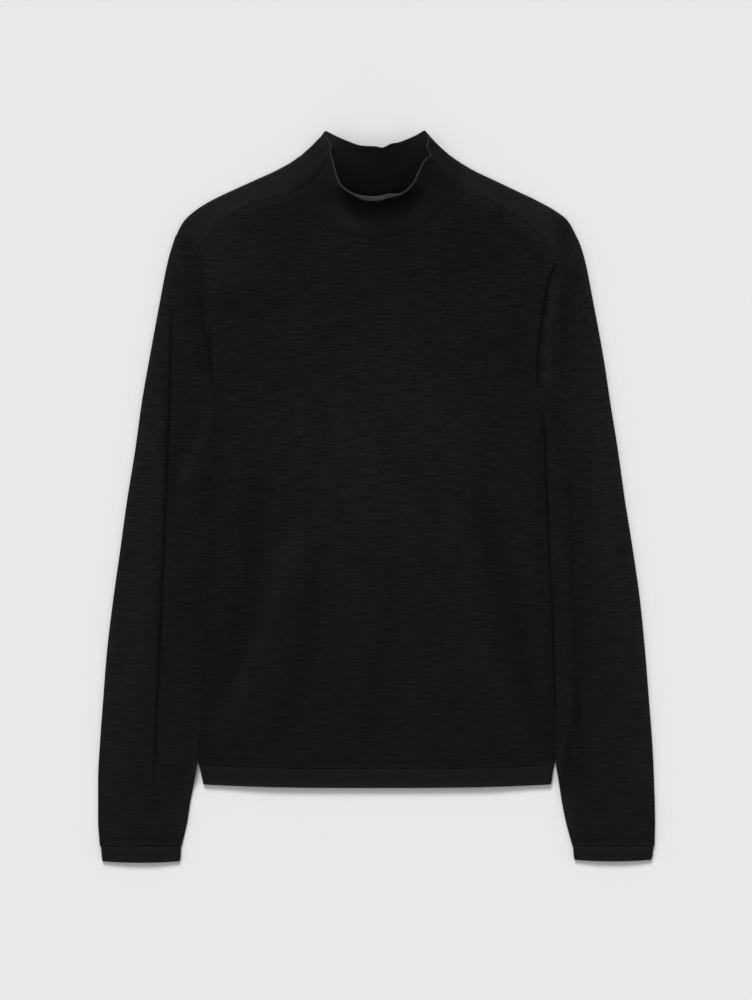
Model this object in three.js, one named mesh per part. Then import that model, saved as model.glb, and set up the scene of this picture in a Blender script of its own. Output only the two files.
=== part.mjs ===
// A fine-knit mock-neck sweater laid flat on its back, front panel up, sleeves beside the body.
// Units are millimetres, +Z is up, +Y runs from the hem to the neck, and +X is the wearer's left.
// Every piece is a wall of cloth around a middle surface. In the tables "out" is the distance from
// the centre line, "across" the same with its sign, "up" the distance above the lowest point of
// the hem, and "rise" the height above the surface that the sweater lies on.
import * as THREE from "three";

// Cloth
const WALL = 1.2;
const BAND_WALL = 1.6;
const SEAM_GAP = 0.3;
const NECK_GAP = 0.8;
const ROLL_SEAM_GAP = 0.8;
const CAP_GAP = 1.1;

// Radii of the folds at the edges of the flattened tubes, to the middle of the cloth
const BODY_ROLL = 1.6;
const SHOULDER_ROLL = 2.0;
const SLEEVE_ROLL = 1.8;
const CUFF_ROLL = 1.7;

// How much the upper layer swells above its folded edges, and over what width it does
const BODY_LOFT = 1.7;
const BODY_LOFT_REACH = { from: 4, to: 80 };
const BODY_FOLD_REACH = 25;
const SLEEVE_LOFT = 1.2;
const SLEEVE_LOFT_SHARE = 0.8;
const SLEEVE_FOLD_SHARE = 0.3;

// The two layers of the body part a little towards the shoulders, and swell less at the neck.
const SHOULDER_PARTING = { from: 380, to: 540 };
const NECK_FLATTENING = { from: 480, to: 600, share: 0.6 };

// The strip of body at its side that a sleeve may cover
const COVERED_STRIP = 6;

// How far from the armhole the upper sleeve comes level with the body
const ARMHOLE_BLEND = { length: 20, width: 30 };

// Heights of the middle of the lower layer
const FLOOR_RISE = WALL / 2;
const BAND_RISE = BAND_WALL / 2;
const COLLAR_RISE = BAND_RISE + 0.5;

// Positions along the length
const NECK_POINT_UP = 675;
const UNDERARM_UP = 424.4;
const HEM_SEAM_UP = 21.3;
const HEM_BOW = 3.8;
const CUFF_SEAM_UP = -62.4;
const CUFF_END_UP = -79.8;

// The sleeve lies on the strip of body beside its inner edge.
const SLEEVE_LIFT = 5.1;
const LIFT_START_DROP = 38;
const LIFT_END_UP = 20;
const LIFT_FADE = 50;
const LIFT_REACH = 4;
const LIFT_RAMP = 14;

const SIDES = { right: -1, left: 1 };

// Outer edge seen from above: over the shoulder, then down the outside of the sleeve.
const OUTLINE = curves(["up", "right", "left"], [
  [675.0, 94.5, 91.3],
  [667.4, 108.5, 104.2],
  [656.6, 132.3, 126.9],
  [645.8, 156.1, 149.6],
  [635.0, 178.7, 172.3],
  [624.2, 196.0, 191.7],
  [613.4, 207.9, 205.7],
  [602.6, 214.4, 212.2],
  [591.8, 218.7, 217.2],
  [570.2, 225.2, 224.1],
  [527.0, 233.8, 232.7],
  [462.2, 245.7, 244.6],
  [419.0, 253.3, 251.1],
  [365.0, 260.8, 259.7],
  [311.0, 269.5, 267.3],
  [257.0, 277.0, 275.9],
  [203.0, 284.6, 283.5],
  [149.0, 291.1, 288.9],
  [95.0, 295.4, 293.2],
  [51.8, 298.6, 296.5],
  [8.6, 300.8, 298.6],
  [-34.6, 300.8, 299.7],
  [-62.4, 298.9, 299.2],
]);

// Top of the armhole seam on the silhouette, and where the forward shoulder seam runs into it
const ARMHOLE_TOP = { right: { out: 217.1, up: 596.6 }, left: { out: 217.0, up: 592.0 } };
const ARMHOLE_JOINT = { right: { out: 190.9, up: 584.0 }, left: { out: 194.5, up: 570.5 } };

// Armhole seam from the joint down to the underarm
const ARMHOLE = curves(["up", "right", "left"], [
  [584.0, 190.9, 198.0],
  [570.5, 189.3, 194.5],
  [560.0, 188.6, 190.2],
  [549.7, 188.0, 186.3],
  [520.6, 183.6, 180.9],
  [487.1, 178.2, 176.5],
  [460.1, 178.0, 173.6],
  [424.4, 176.6, 174.6],
]);

// Inner edge of the sleeve from the underarm to the cuff
const SLEEVE_INNER = curves(["up", "right", "left"], [
  [424.4, 176.8, 174.8],
  [405.0, 176.7, 176.3],
  [386.0, 177.0, 178.5],
  [351.0, 178.5, 179.8],
  [267.8, 182.0, 183.0],
  [203.0, 184.1, 186.3],
  [138.2, 187.4, 188.8],
  [73.4, 190.6, 190.2],
  [28.0, 193.9, 192.8],
  [8.6, 197.1, 196.0],
  [-13.0, 201.4, 199.3],
  [-34.6, 204.7, 203.6],
  [-62.4, 211.1, 211.1],
]);

// Side edge of the body, which runs out under the sleeve and comes back above the hem
const BODY_SIDE = curves(["up", "right", "left"], [
  [424.4, 176.4, 174.4],
  [405.0, 176.2, 175.8],
  [386.0, 176.6, 178.0],
  [365.0, 185.0, 185.0],
  [332.6, 198.5, 198.0],
  [267.8, 208.5, 207.5],
  [203.0, 212.2, 211.1],
  [138.2, 212.0, 211.0],
  [84.2, 205.7, 204.7],
  [41.0, 197.1, 196.0],
  [19.4, 191.7, 190.6],
  [3.2, 188.0, 188.2],
  [-1.0, 187.2, 187.4],
]);

const CUFF = curves(["up", "rightOuter", "rightInner", "leftOuter", "leftInner"], [
  [-62.4, 298.0, 211.6, 298.4, 211.6],
  [-73.4, 297.4, 212.0, 297.5, 212.2],
  [-79.8, 296.6, 213.0, 295.9, 213.3],
]);

// Forward shoulder seam from the armhole joint to the corner of the neck
const SHOULDER_SEAM = {
  right: [[190.9, 584.0], [182.0, 597.0], [173.3, 608.0], [147.4, 625.3], [115.0, 637.2], [93.4, 642.6]],
  left: [[194.5, 570.5], [180.9, 592.9], [160.4, 611.3], [139.9, 625.3], [116.1, 637.2], [93.4, 642.6]],
};

// Front neck seam, across and up
const FRONT_NECK = [
  [-93.4, 642.6],
  [-83.7, 632.9],
  [-66.5, 615.8],
  [-49.0, 601.6],
  [-24.0, 596.4],
  [0.0, 595.0],
  [20.0, 598.3],
  [48.1, 607.0],
  [71.8, 625.3],
  [93.4, 642.6],
];

// Back neck seam between the ends of the shoulder folds, across and up
const BACK_NECK = [
  [-79.0, 664.5],
  [-58.0, 652.5],
  [-30.0, 643.5],
  [0.0, 640.9],
  [29.0, 643.5],
  [56.0, 652.5],
  [76.0, 664.5],
];

// The collar runs from the neck seam to the mouth. Layer is 0 on the lower cloth, 1 on the upper,
// and a half at the fold between them.
const COLLAR = rows(["across", "up", "layer", "edgeAcross", "edgeUp", "edgeRise"], [
  [0, 640.9, 0, -1, 691.9, 20],
  [-30, 643.5, 0, -18, 693, 19],
  [-58, 652.5, 0, -33, 698.3, 16.5],
  [-79, 664.5, 0, -44, 703.2, 13.5],
  [-92.7, 672.6, 0, -52.5, 707.8, 10.5],
  [-94.0, 674.4, 0.5, -55.8, 708.8, 9],
  [-92.9, 672.2, 1, -56.3, 704.5, 10],
  [-93.3, 662, 1, -49.5, 693, 12.5],
  [-93.4, 652, 1, -50.2, 685.5, 14],
  [-93.4, 642.6, 1, -47.8, 676.5, 16],
  [-83.7, 632.9, 1, -44, 661, 20],
  [-66.5, 615.8, 1, -38.5, 649.5, 23.5],
  [-49, 601.6, 1, -27, 641.2, 27],
  [-24, 596.4, 1, -14.5, 635, 30],
  [0, 595, 1, 1, 634, 31.5],
  [20, 598.3, 1, 13, 637, 30.5],
  [48.1, 607, 1, 27, 641, 27],
  [67, 621.5, 1, 38, 650.5, 23],
  [84, 635.2, 1, 44.5, 663, 19.5],
  [93.4, 642.6, 1, 51, 676.5, 16],
  [92, 652, 1, 57.5, 682.5, 14],
  [91, 662, 1, 54, 692, 12.5],
  [89.8, 672.2, 1, 55.5, 700.5, 10.5],
  [90.8, 674.4, 0.5, 52.2, 708.9, 9],
  [89.5, 672.6, 0, 49, 708.4, 10.5],
  [76, 664.5, 0, 41.5, 703.9, 13.5],
  [56, 652.5, 0, 29.5, 698.5, 16.5],
  [42.5, 647.4, 0, 22.5, 696.2, 17.8],
  [29, 643.5, 0, 15, 694.7, 19],
  [12, 641.4, 0, 6.5, 690.8, 19.8],
]);

// The collar's folded sides sag inwards between the seam and the mouth, where they are this far out.
const COLLAR_SAG = { across: 1.4, up: 1.6, from: 70, to: 88 };

// How the collar rises from its seam: evenly at the back, after a nearly flat foot at the front.
// The back turns into the front while its seam climbs by COLLAR_FRONT_RISE.
const COLLAR_FOOT = 0.3;
const COLLAR_STEEPENING = { back: 1.1, front: 1.8 };
const COLLAR_FRONT_RISE = 3;

// Directions in plan that set one side of the shoulder seam off from the other, as across and up
const SEAM_OFFSET = [0.4, 0.9];

// Soft folds of the upper layers as lines of points across and up; a negative height is a trough.
const BODY_FOLDS = [
  { height: 0.6, width: 11, line: [[-180, 36], [-131, 138], [-99, 246], [-77, 300]] },
  { height: -0.6, width: 12, line: [[-180, 70], [-158, 138], [-137, 219], [-131, 300], [-120, 376]] },
  { height: -0.5, width: 12, line: [[-124, 34], [-83, 127], [-66, 235], [-58, 290]] },
  { height: -0.8, width: 11, line: [[187, 36], [160, 117], [139, 208], [123, 262], [106, 350]] },
  { height: 0.5, width: 9, line: [[184, 80], [166, 203], [150, 300]] },
  { height: 0.5, width: 13, line: [[144, 36], [123, 117], [101, 208], [80, 300]] },
  { height: -0.5, width: 9, line: [[-166, 560], [-150, 500], [-146, 430]] },
  { height: -0.45, width: 9, line: [[164, 545], [150, 490], [147, 425]] },
];
const SLEEVE_FOLDS = {
  right: [
    {
      height: -1.1,
      width: 4.5,
      line: [[-221, 560], [-222, 484], [-226, 354], [-232, 203], [-238, 65], [-240, 0], [-240, -40]],
    },
    { height: 0.5, width: 13, line: [[-236, 460], [-247, 300], [-260, 150], [-272, 60]] },
    { height: -0.5, width: 7, line: [[-268, 240], [-276, 120], [-280, 20]] },
  ],
  left: [
    {
      height: -1.1,
      width: 5.5,
      line: [[206, 400], [208, 330], [211, 240], [214, 160], [220, 50], [226, -20]],
    },
    { height: 0.7, width: 5, line: [[195, 560], [193, 500], [190, 440]] },
    { height: -0.8, width: 5, line: [[205, 560], [203, 500], [203, 430]] },
    { height: 0.6, width: 5, line: [[196, 350], [200, 240], [204, 130]] },
    { height: 0.5, width: 11, line: [[232, 500], [244, 350], [258, 200]] },
  ],
};

// Grid steps
const HEM_TO_UNDERARM_STEPS = 18;
const ARMHOLE_STEPS = 6;
const OUTLINE_STEPS = 24;
const SHOULDER_STEPS = 5;
const NECK_STEPS = 18;
const SLEEVE_STEPS = 18;
const TOP_STEPS = 11;
const UNDER_STEPS = 10;
const BAND_STEPS = 2;
const COLLAR_STEPS = 8;
const ROLL_ANGLES = [0, Math.PI / 4];
const RIGHT_ANGLE = Math.PI / 2;

// Names the columns of a table, so that each row is read by name.
function rows(columns, table) {
  return table.map((row) => Object.fromEntries(columns.map((name, k) => [name, row[k]])));
}

// One smooth curve per column, read at a value of the first column and never past its neighbours.
function curves(columns, table) {
  const sorted = [...table].sort((a, b) => a[0] - b[0]);
  const at = sorted.map((row) => row[0]);
  return Object.fromEntries(
    columns.slice(1).map((name, k) => [name, monotone(at, sorted.map((row) => row[k + 1]))]),
  );
}

function monotone(at, values) {
  const last = at.length - 1;
  const slope = at.slice(1).map((x, i) => (values[i + 1] - values[i]) / (x - at[i]));
  const tangent = at.map((x, i) => {
    if (i === 0) return slope[0];
    if (i === last) return slope[last - 1];
    const [before, after] = [slope[i - 1], slope[i]];
    return before * after <= 0 ? 0 : (2 * before * after) / (before + after);
  });
  return (x) => {
    const clamped = Math.min(Math.max(x, at[0]), at[last]);
    const i = Math.min(at.findLastIndex((a) => a <= clamped), last - 1);
    const step = at[i + 1] - at[i];
    const t = (clamped - at[i]) / step;
    return (
      values[i] * (1 + 2 * t) * (1 - t) ** 2 +
      values[i + 1] * t * t * (3 - 2 * t) +
      step * (tangent[i] * t * (1 - t) ** 2 - tangent[i + 1] * t * t * (1 - t))
    );
  };
}

const lerp = THREE.MathUtils.lerp;

// Rises smoothly from 0 at "from" to 1 at "to".
function smooth(value, from, to) {
  const t = Math.min(Math.max((value - from) / (to - from), 0), 1);
  return t * t * (3 - 2 * t);
}

function steps(count) {
  return Array.from({ length: count + 1 }, (_, i) => i / count);
}

const plan = (across, up) => new THREE.Vector2(across, up);
const raised = (point, rise) => new THREE.Vector3(point.x, point.y, rise);

// Height that the folds of one list add at a point.
function foldRise(point, folds) {
  return folds.reduce((sum, { height, width, line }) => {
    let nearest = Infinity;
    let along = 0;
    for (let i = 0; i + 1 < line.length; i += 1) {
      const start = plan(...line[i]);
      const leg = plan(...line[i + 1]).sub(start);
      const t = Math.min(Math.max(point.clone().sub(start).dot(leg) / leg.lengthSq(), 0), 1);
      const distance = point.distanceTo(start.addScaledVector(leg, t));
      if (distance < nearest) {
        nearest = distance;
        along = (i + t) / (line.length - 1);
      }
    }
    const fade = smooth(along, 0, 0.2) * (1 - smooth(along, 0.8, 1));
    return sum + height * fade * Math.exp(-((nearest / width) ** 2));
  }, 0);
}

const sideOf = (across) => (across < 0 ? "right" : "left");

function bodyEdge(side, up) {
  return up > UNDERARM_UP ? ARMHOLE[side](up) : BODY_SIDE[side](up);
}

// Middle of the front cloth above the floor.
function bodyRise(point) {
  const side = sideOf(point.x);
  const out = Math.abs(point.x);
  const clear = Math.min(bodyEdge(side, point.y), SLEEVE_INNER[side](point.y) + COVERED_STRIP) - out;
  const parting = smooth(point.y, SHOULDER_PARTING.from, SHOULDER_PARTING.to);
  const thickness = 2 * lerp(BODY_ROLL, SHOULDER_ROLL, parting);
  const flattening = NECK_FLATTENING.share * smooth(point.y, NECK_FLATTENING.from, NECK_FLATTENING.to);
  const swell = BODY_LOFT * (1 - flattening) * smooth(clear, BODY_LOFT_REACH.from, BODY_LOFT_REACH.to);
  const folds = foldRise(point, BODY_FOLDS) * smooth(clear, 0, BODY_FOLD_REACH);
  return FLOOR_RISE + thickness + swell + folds;
}

// Middle of the lower cloth of a sleeve, which climbs over the side of the body.
function sleeveUnder(point) {
  const side = sideOf(point.x);
  const beyond = Math.abs(point.x) - BODY_SIDE[side](point.y);
  const start = smooth(UNDERARM_UP - point.y, 0, LIFT_START_DROP);
  const end = smooth(point.y, LIFT_END_UP - LIFT_FADE, LIFT_END_UP);
  return FLOOR_RISE + SLEEVE_LIFT * start * end * (1 - smooth(beyond, LIFT_REACH, LIFT_REACH + LIFT_RAMP));
}

// Middle of the upper cloth of a sleeve; it meets the body level with it at the armhole.
function sleeveTop(point) {
  const side = sideOf(point.x);
  const out = Math.abs(point.x);
  const inner = point.y > UNDERARM_UP ? ARMHOLE[side](point.y) : SLEEVE_INNER[side](point.y);
  const outer = OUTLINE[side](point.y);
  const middle = 1 - Math.abs((2 * out - inner - outer) / (outer - inner));
  const own =
    sleeveUnder(point) +
    2 * SLEEVE_ROLL +
    SLEEVE_LOFT * smooth(middle, 0, SLEEVE_LOFT_SHARE) +
    foldRise(point, SLEEVE_FOLDS[side]) * smooth(middle, 0, SLEEVE_FOLD_SHARE);
  const aboveUnderarm = smooth(point.y, UNDERARM_UP, UNDERARM_UP + ARMHOLE_BLEND.length);
  const besideSeam = 1 - smooth(out - inner, 0, ARMHOLE_BLEND.width);
  return lerp(own, bodyRise(point), aboveUnderarm * besideSeam);
}

// A middle surface made of grids of points that share their edges.
class MiddleSurface {
  constructor() {
    this.points = [];
    this.faces = [];
    this.known = new Map();
  }

  index(point) {
    const key = point.toArray().map((c) => Math.round(c * 200)).join(" ");
    if (!this.known.has(key)) this.known.set(key, this.points.push(point) - 1);
    return this.known.get(key);
  }

  // Rows of points; the cloth's outer face is on the left of a step along a row and then to the next.
  grid(pointRows) {
    for (let j = 0; j + 1 < pointRows.length; j += 1) {
      for (let i = 0; i + 1 < pointRows[j].length; i += 1) {
        const [a, b, c, d] = [
          pointRows[j][i],
          pointRows[j][i + 1],
          pointRows[j + 1][i + 1],
          pointRows[j + 1][i],
        ].map((p) => this.index(p));
        const shortWay =
          this.points[a].distanceTo(this.points[c]) <= this.points[b].distanceTo(this.points[d]);
        const halves = shortWay ? [[a, b, c], [a, c, d]] : [[a, b, d], [b, c, d]];
        this.faces.push(...halves.filter((face) => new Set(face).size === 3));
      }
    }
  }

  normals() {
    const sums = this.points.map(() => new THREE.Vector3());
    for (const [a, b, c] of this.faces) {
      const ab = this.points[b].clone().sub(this.points[a]);
      const ac = this.points[c].clone().sub(this.points[a]);
      const facing = ab.cross(ac);
      for (const corner of [a, b, c]) sums[corner].add(facing);
    }
    return sums.map((sum) => sum.normalize());
  }

  // Both faces of the cloth, half a wall from the middle, and a strip along every free edge.
  thicken(wall) {
    const normals = this.normals();
    const count = this.points.length;
    const moved = (p, i, by) => p.clone().addScaledVector(normals[i], by).toArray();
    const shift = (by) => this.points.flatMap((p, i) => moved(p, i, by));
    const positions = [...shift(wall / 2), ...shift(-wall / 2)];
    const indices = [];
    const edges = new Set();
    for (const [a, b, c] of this.faces) {
      indices.push(a, b, c, count + c, count + b, count + a);
      for (const edge of [[a, b], [b, c], [c, a]]) edges.add(edge.join(" "));
    }
    for (const edge of edges) {
      const [a, b] = edge.split(" ").map(Number);
      if (edges.has(`${b} ${a}`)) continue;
      indices.push(b, a, count + a, b, count + a, count + b);
    }
    const geometry = new THREE.BufferGeometry();
    geometry.setAttribute("position", new THREE.Float32BufferAttribute(positions, 3));
    geometry.setIndex(indices);
    geometry.computeVertexNormals();
    return geometry;
  }
}

// Point of a folded edge at an angle from its tip, between the heights of the two layers.
function rollPoint(tip, inward, radius, angle, lower, upper) {
  const point = tip.clone().addScaledVector(inward, radius * (1 - Math.cos(angle)));
  return raised(point, (lower + upper) / 2 + ((upper - lower) / 2) * Math.sin(angle));
}

// One ring of a flattened tube: over the top from the inner end, round the outer fold, and back.
// An open ring isn't folded at its inner end, but stops at the two edges of a seam.
function flatRing({ inner, outer, roll, top, under, open }) {
  const away = outer.clone().sub(inner).normalize();
  const back = away.clone().negate();
  const outerFlat = outer.clone().addScaledVector(back, roll);
  const innerFlat = open ? inner : inner.clone().addScaledVector(away, roll);
  const folded = (tip, inward, flat, angles) =>
    angles.map((angle) => rollPoint(tip, inward, roll, angle, under(flat), top(flat)));
  const layer = (from, to, count, rise) =>
    steps(count).map((t) => from.clone().lerp(to, t)).map((p) => raised(p, rise(p)));
  const seam = (rise) => ROLL_ANGLES.map(() => raised(inner, rise(inner)));
  const upward = ROLL_ANGLES;
  const downward = [...ROLL_ANGLES].reverse().map((angle) => -angle);
  return [
    ...(open ? seam(top) : folded(inner, away, innerFlat, upward)),
    ...layer(innerFlat, outerFlat, TOP_STEPS, top),
    ...folded(outer, back, outerFlat, [...ROLL_ANGLES].reverse()),
    ...folded(outer, back, outerFlat, downward.slice(0, -1).reverse()),
    ...layer(outerFlat, innerFlat, UNDER_STEPS, under),
    ...(open ? seam(under) : folded(inner, away, innerFlat, downward)),
  ];
}

// Positions along the body side and the armhole, the same on every piece that meets there.
function sideRows(side) {
  const joint = ARMHOLE_JOINT[side].up;
  const below = steps(HEM_TO_UNDERARM_STEPS).map((t) => lerp(HEM_SEAM_UP, UNDERARM_UP, t));
  const above = steps(ARMHOLE_STEPS).slice(1).map((t) => lerp(UNDERARM_UP, joint, t));
  return { below, above };
}

// Blends the four edges of a panel into a grid in plan; rows run from the bottom to the top edge.
function blendEdges({ right, left, bottom, top }) {
  const width = top.at(-1).x - top[0].x;
  const height = right.at(-1).y - right[0].y;
  return right.map((rightPoint, j) => {
    const v = (rightPoint.y - right[0].y) / height;
    return top.map((topPoint, i) => {
      const u = (topPoint.x - top[0].x) / width;
      const sides = rightPoint.clone().lerp(left[j], u);
      const ends = bottom[i].clone().lerp(topPoint, v);
      const low = right[0].clone().lerp(left[0], u);
      const high = right.at(-1).clone().lerp(left.at(-1), u);
      return sides.add(ends).sub(low.lerp(high, v));
    });
  });
}

// Even steps along a smooth line through points, by length.
function along(points, count) {
  const line = new THREE.SplineCurve(points);
  return steps(count).map((t) => line.getPointAt(t));
}

const hemBow = (across) => HEM_BOW * (Math.abs(across) / BODY_SIDE.right(0)) ** 3;

// Lower edge of a panel: straight in plan but for the bow of the hem, at given steps of its width.
function hemLine(right, left, top) {
  const width = top.at(-1).x - top[0].x;
  return top.map((point) => {
    const across = lerp(right.x, left.x, (point.x - top[0].x) / width);
    return plan(across, HEM_SEAM_UP + SEAM_GAP / 2 + hemBow(across));
  });
}

// Edge points of a body panel on one side: the folded part, then the part along the armhole.
function panelSide(side) {
  const sign = SIDES[side];
  const { below, above } = sideRows(side);
  const inward = plan(-sign, 0);
  const tips = below.map((up, j) => {
    const tip = plan(sign * (BODY_SIDE[side](up) - WALL / 2), up);
    if (j === 0) tip.y = HEM_SEAM_UP + SEAM_GAP / 2 + hemBow(tip.x);
    return tip;
  });
  const insets = tips.map((tip, j) => {
    const inset = tip.clone().addScaledVector(inward, BODY_ROLL);
    if (j === 0) inset.y = HEM_SEAM_UP + SEAM_GAP / 2 + hemBow(inset.x);
    return inset;
  });
  const seam = above.map((up) => plan(sign * (ARMHOLE[side](up) - SEAM_GAP / 2), up));
  return { sign, inward, tips, insets, seam };
}

// Folds the side of a body panel up or down to half its height, and closes it at the underarm.
function addSideRoll(surface, { sign, inward, tips, insets, seam }, { upper, rise }) {
  const angles = [...ROLL_ANGLES, RIGHT_ANGLE].map((angle) => (upper ? angle : -angle));
  const shift = ((upper ? 1 : -1) * ROLL_SEAM_GAP) / 2;
  const grid = tips.map((tip, j) =>
    angles.map((angle) => {
      if (Math.abs(angle) === RIGHT_ANGLE) return raised(insets[j], rise(insets[j]));
      const point = rollPoint(tip, inward, BODY_ROLL, angle, FLOOR_RISE, bodyRise(insets[j]));
      if (j === 0) point.y = HEM_SEAM_UP + SEAM_GAP / 2 + hemBow(point.x);
      point.z += shift * Math.cos(angle);
      return point;
    }),
  );
  const corner = raised(seam[0], rise(seam[0]));
  grid.push(angles.map(() => corner));
  const towardsLeft = sign < 0 ? grid : grid.map((row) => row.reverse());
  surface.grid(upper ? towardsLeft : towardsLeft.reverse());
}

function frontPanel() {
  const sides = { right: panelSide("right"), left: panelSide("left") };
  const edge = (side) => [...sides[side].insets, ...sides[side].seam];
  const shoulder = (side) => {
    const { sign, seam } = sides[side];
    const line = SHOULDER_SEAM[side].map(([out, up]) => plan(sign * out, up));
    const offset = plan(sign * SEAM_OFFSET[0], SEAM_OFFSET[1]).multiplyScalar(SEAM_GAP / 2);
    const inside = line.map((p) => p.clone().sub(offset));
    inside[0] = seam.at(-1);
    return along(inside, SHOULDER_STEPS);
  };
  const neck = along(FRONT_NECK.map(([across, up]) => plan(across, up)), NECK_STEPS).slice(1, -1);
  const top = [...shoulder("right"), ...neck, ...shoulder("left").reverse()];
  const [right, left] = [edge("right"), edge("left")];
  const bottom = hemLine(right[0], left[0], top);
  const surface = new MiddleSurface();
  const grid = blendEdges({ right, left, bottom, top });
  surface.grid(grid.map((row) => row.map((p) => raised(p, bodyRise(p)))));
  for (const side of Object.values(sides)) addSideRoll(surface, side, { upper: true, rise: bodyRise });
  return surface;
}

// Silhouette of one shoulder from the armhole to the neck, to the middle of the cloth, with the
// direction into the panel at each point.
function shoulderFold(side) {
  const sign = SIDES[side];
  const start = ARMHOLE_TOP[side];
  const joint = ARMHOLE_JOINT[side];
  const slant = plan(joint.out - start.out, joint.up - start.up).normalize();
  const offSeam = plan(-slant.y, slant.x).multiplyScalar(-CAP_GAP);
  const ups = steps(OUTLINE_STEPS).map((t) => lerp(start.up, NECK_POINT_UP, t));
  const face = along(ups.map((up) => plan(OUTLINE[side](up), up)), SHOULDER_STEPS);
  return face.map((point, i) => {
    const ahead = face[Math.min(i + 1, face.length - 1)];
    const behind = face[Math.max(i - 1, 0)];
    const tangent = ahead.clone().sub(behind).normalize();
    const inward = i === 0 ? slant : plan(-tangent.y, tangent.x);
    const tip = point.clone().addScaledVector(inward, WALL / 2);
    if (i === 0) tip.add(offSeam);
    return { tip: plan(sign * tip.x, tip.y), inward: plan(sign * inward.x, inward.y) };
  });
}

function backPanel() {
  const surface = new MiddleSurface();
  const sides = { right: panelSide("right"), left: panelSide("left") };
  const folds = { right: shoulderFold("right"), left: shoulderFold("left") };
  const inset = ({ tip, inward }) => tip.clone().addScaledVector(inward, SHOULDER_ROLL);
  const edge = (side) => {
    const { insets, seam } = sides[side];
    const corner = inset(folds[side][0]);
    return [...insets, ...seam, seam.at(-1).clone().lerp(corner, 0.5), corner];
  };
  const shoulder = (side) => folds[side].map(inset);
  const ends = [shoulder("right").at(-1), shoulder("left").at(-1)];
  const neckLine = [ends[0], ...BACK_NECK.map(([across, up]) => plan(across, up)), ends[1]];
  const neck = along(neckLine, NECK_STEPS).slice(1, -1);
  const top = [...shoulder("right"), ...neck, ...shoulder("left").reverse()];
  const [right, left] = [edge("right"), edge("left")];
  const bottom = hemLine(right[0], left[0], top);
  const flat = () => FLOOR_RISE;
  const grid = blendEdges({ right, left, bottom, top });
  surface.grid(grid.map((row) => row.map((p) => raised(p, flat()))).reverse());
  for (const side of Object.values(sides)) addSideRoll(surface, side, { upper: false, rise: flat });

  // Over each shoulder the cloth folds forward to the shoulder seam.
  for (const [side, sign] of Object.entries(SIDES)) {
    const line = SHOULDER_SEAM[side].map(([out, up]) => plan(sign * out, up));
    const seam = along(line, SHOULDER_STEPS);
    const strip = folds[side].map(({ tip, inward }, i) => {
      const flatEnd = inset({ tip, inward });
      const upper = bodyRise(flatEnd);
      const roll = [-2, -1, 0, 1].map((k) =>
        rollPoint(tip, inward, SHOULDER_ROLL, (k * RIGHT_ANGLE) / 2, FLOOR_RISE, upper),
      );
      const onTop = steps(2).map((t) => flatEnd.clone().lerp(seam[i], t));
      onTop[2].add(plan(sign * SEAM_OFFSET[0], SEAM_OFFSET[1]).multiplyScalar(SEAM_GAP / 2));
      return [...roll, ...onTop.map((p) => raised(p, bodyRise(p)))];
    });
    surface.grid(sign < 0 ? strip : strip.reverse());
  }
  return surface;
}

function sleeve(side) {
  const sign = SIDES[side];
  const { above } = sideRows(side);
  const start = ARMHOLE_TOP[side];
  const joint = ARMHOLE_JOINT[side];
  const lower = steps(SLEEVE_STEPS).slice(1).map((t) => lerp(UNDERARM_UP, CUFF_SEAM_UP, t));
  const outerUp = (up) => up + ((start.up - joint.up) * (up - CUFF_SEAM_UP)) / (joint.up - CUFF_SEAM_UP);
  const rings = [...above.reverse(), UNDERARM_UP, ...lower].map((up) => {
    const open = up > UNDERARM_UP;
    const innerOut = open ? ARMHOLE[side](up) + SEAM_GAP / 2 : SLEEVE_INNER[side](up) + WALL / 2;
    const outerOut = OUTLINE[side](outerUp(up)) - WALL / 2;
    return flatRing({
      inner: plan(sign * innerOut, up),
      outer: plan(sign * outerOut, outerUp(up)),
      roll: SLEEVE_ROLL,
      top: sleeveTop,
      under: sleeveUnder,
      open,
    });
  });
  const surface = new MiddleSurface();
  surface.grid(sign > 0 ? rings.reverse() : rings.map((ring) => ring.reverse()).reverse());
  return surface;
}

function cuff(side) {
  const sign = SIDES[side];
  const swell = (point) => {
    const out = Math.abs(point.x);
    const [outer, inner] = [CUFF[`${side}Outer`](point.y), CUFF[`${side}Inner`](point.y)];
    return smooth(1 - Math.abs((2 * out - inner - outer) / (outer - inner)), 0, SLEEVE_LOFT_SHARE);
  };
  const rings = steps(BAND_STEPS).map((t) => {
    const up = lerp(CUFF_SEAM_UP - SEAM_GAP, CUFF_END_UP, t);
    return flatRing({
      inner: plan(sign * (CUFF[`${side}Inner`](up) + BAND_WALL / 2), up),
      outer: plan(sign * (CUFF[`${side}Outer`](up) - BAND_WALL / 2), up),
      roll: CUFF_ROLL,
      top: (point) => BAND_RISE + 2 * CUFF_ROLL + SLEEVE_LOFT * swell(point),
      under: () => BAND_RISE,
      open: false,
    });
  });
  const surface = new MiddleSurface();
  surface.grid(sign > 0 ? rings.reverse() : rings.map((ring) => ring.reverse()).reverse());
  return surface;
}

function hemBand() {
  const rings = steps(BAND_STEPS).map((t) => {
    const up = lerp(HEM_SEAM_UP - SEAM_GAP / 2, 0, t);
    const ring = flatRing({
      inner: plan(-(BODY_SIDE.right(up) - BAND_WALL / 2), up),
      outer: plan(BODY_SIDE.left(up) - BAND_WALL / 2, up),
      roll: BODY_ROLL,
      top: (point) => Math.max(bodyRise(point), BAND_RISE + 2 * BODY_ROLL),
      under: () => BAND_RISE,
      open: false,
    });
    for (const point of ring) point.y += hemBow(point.x);
    return ring;
  });
  const surface = new MiddleSurface();
  surface.grid(rings.reverse());
  return surface;
}

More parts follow.
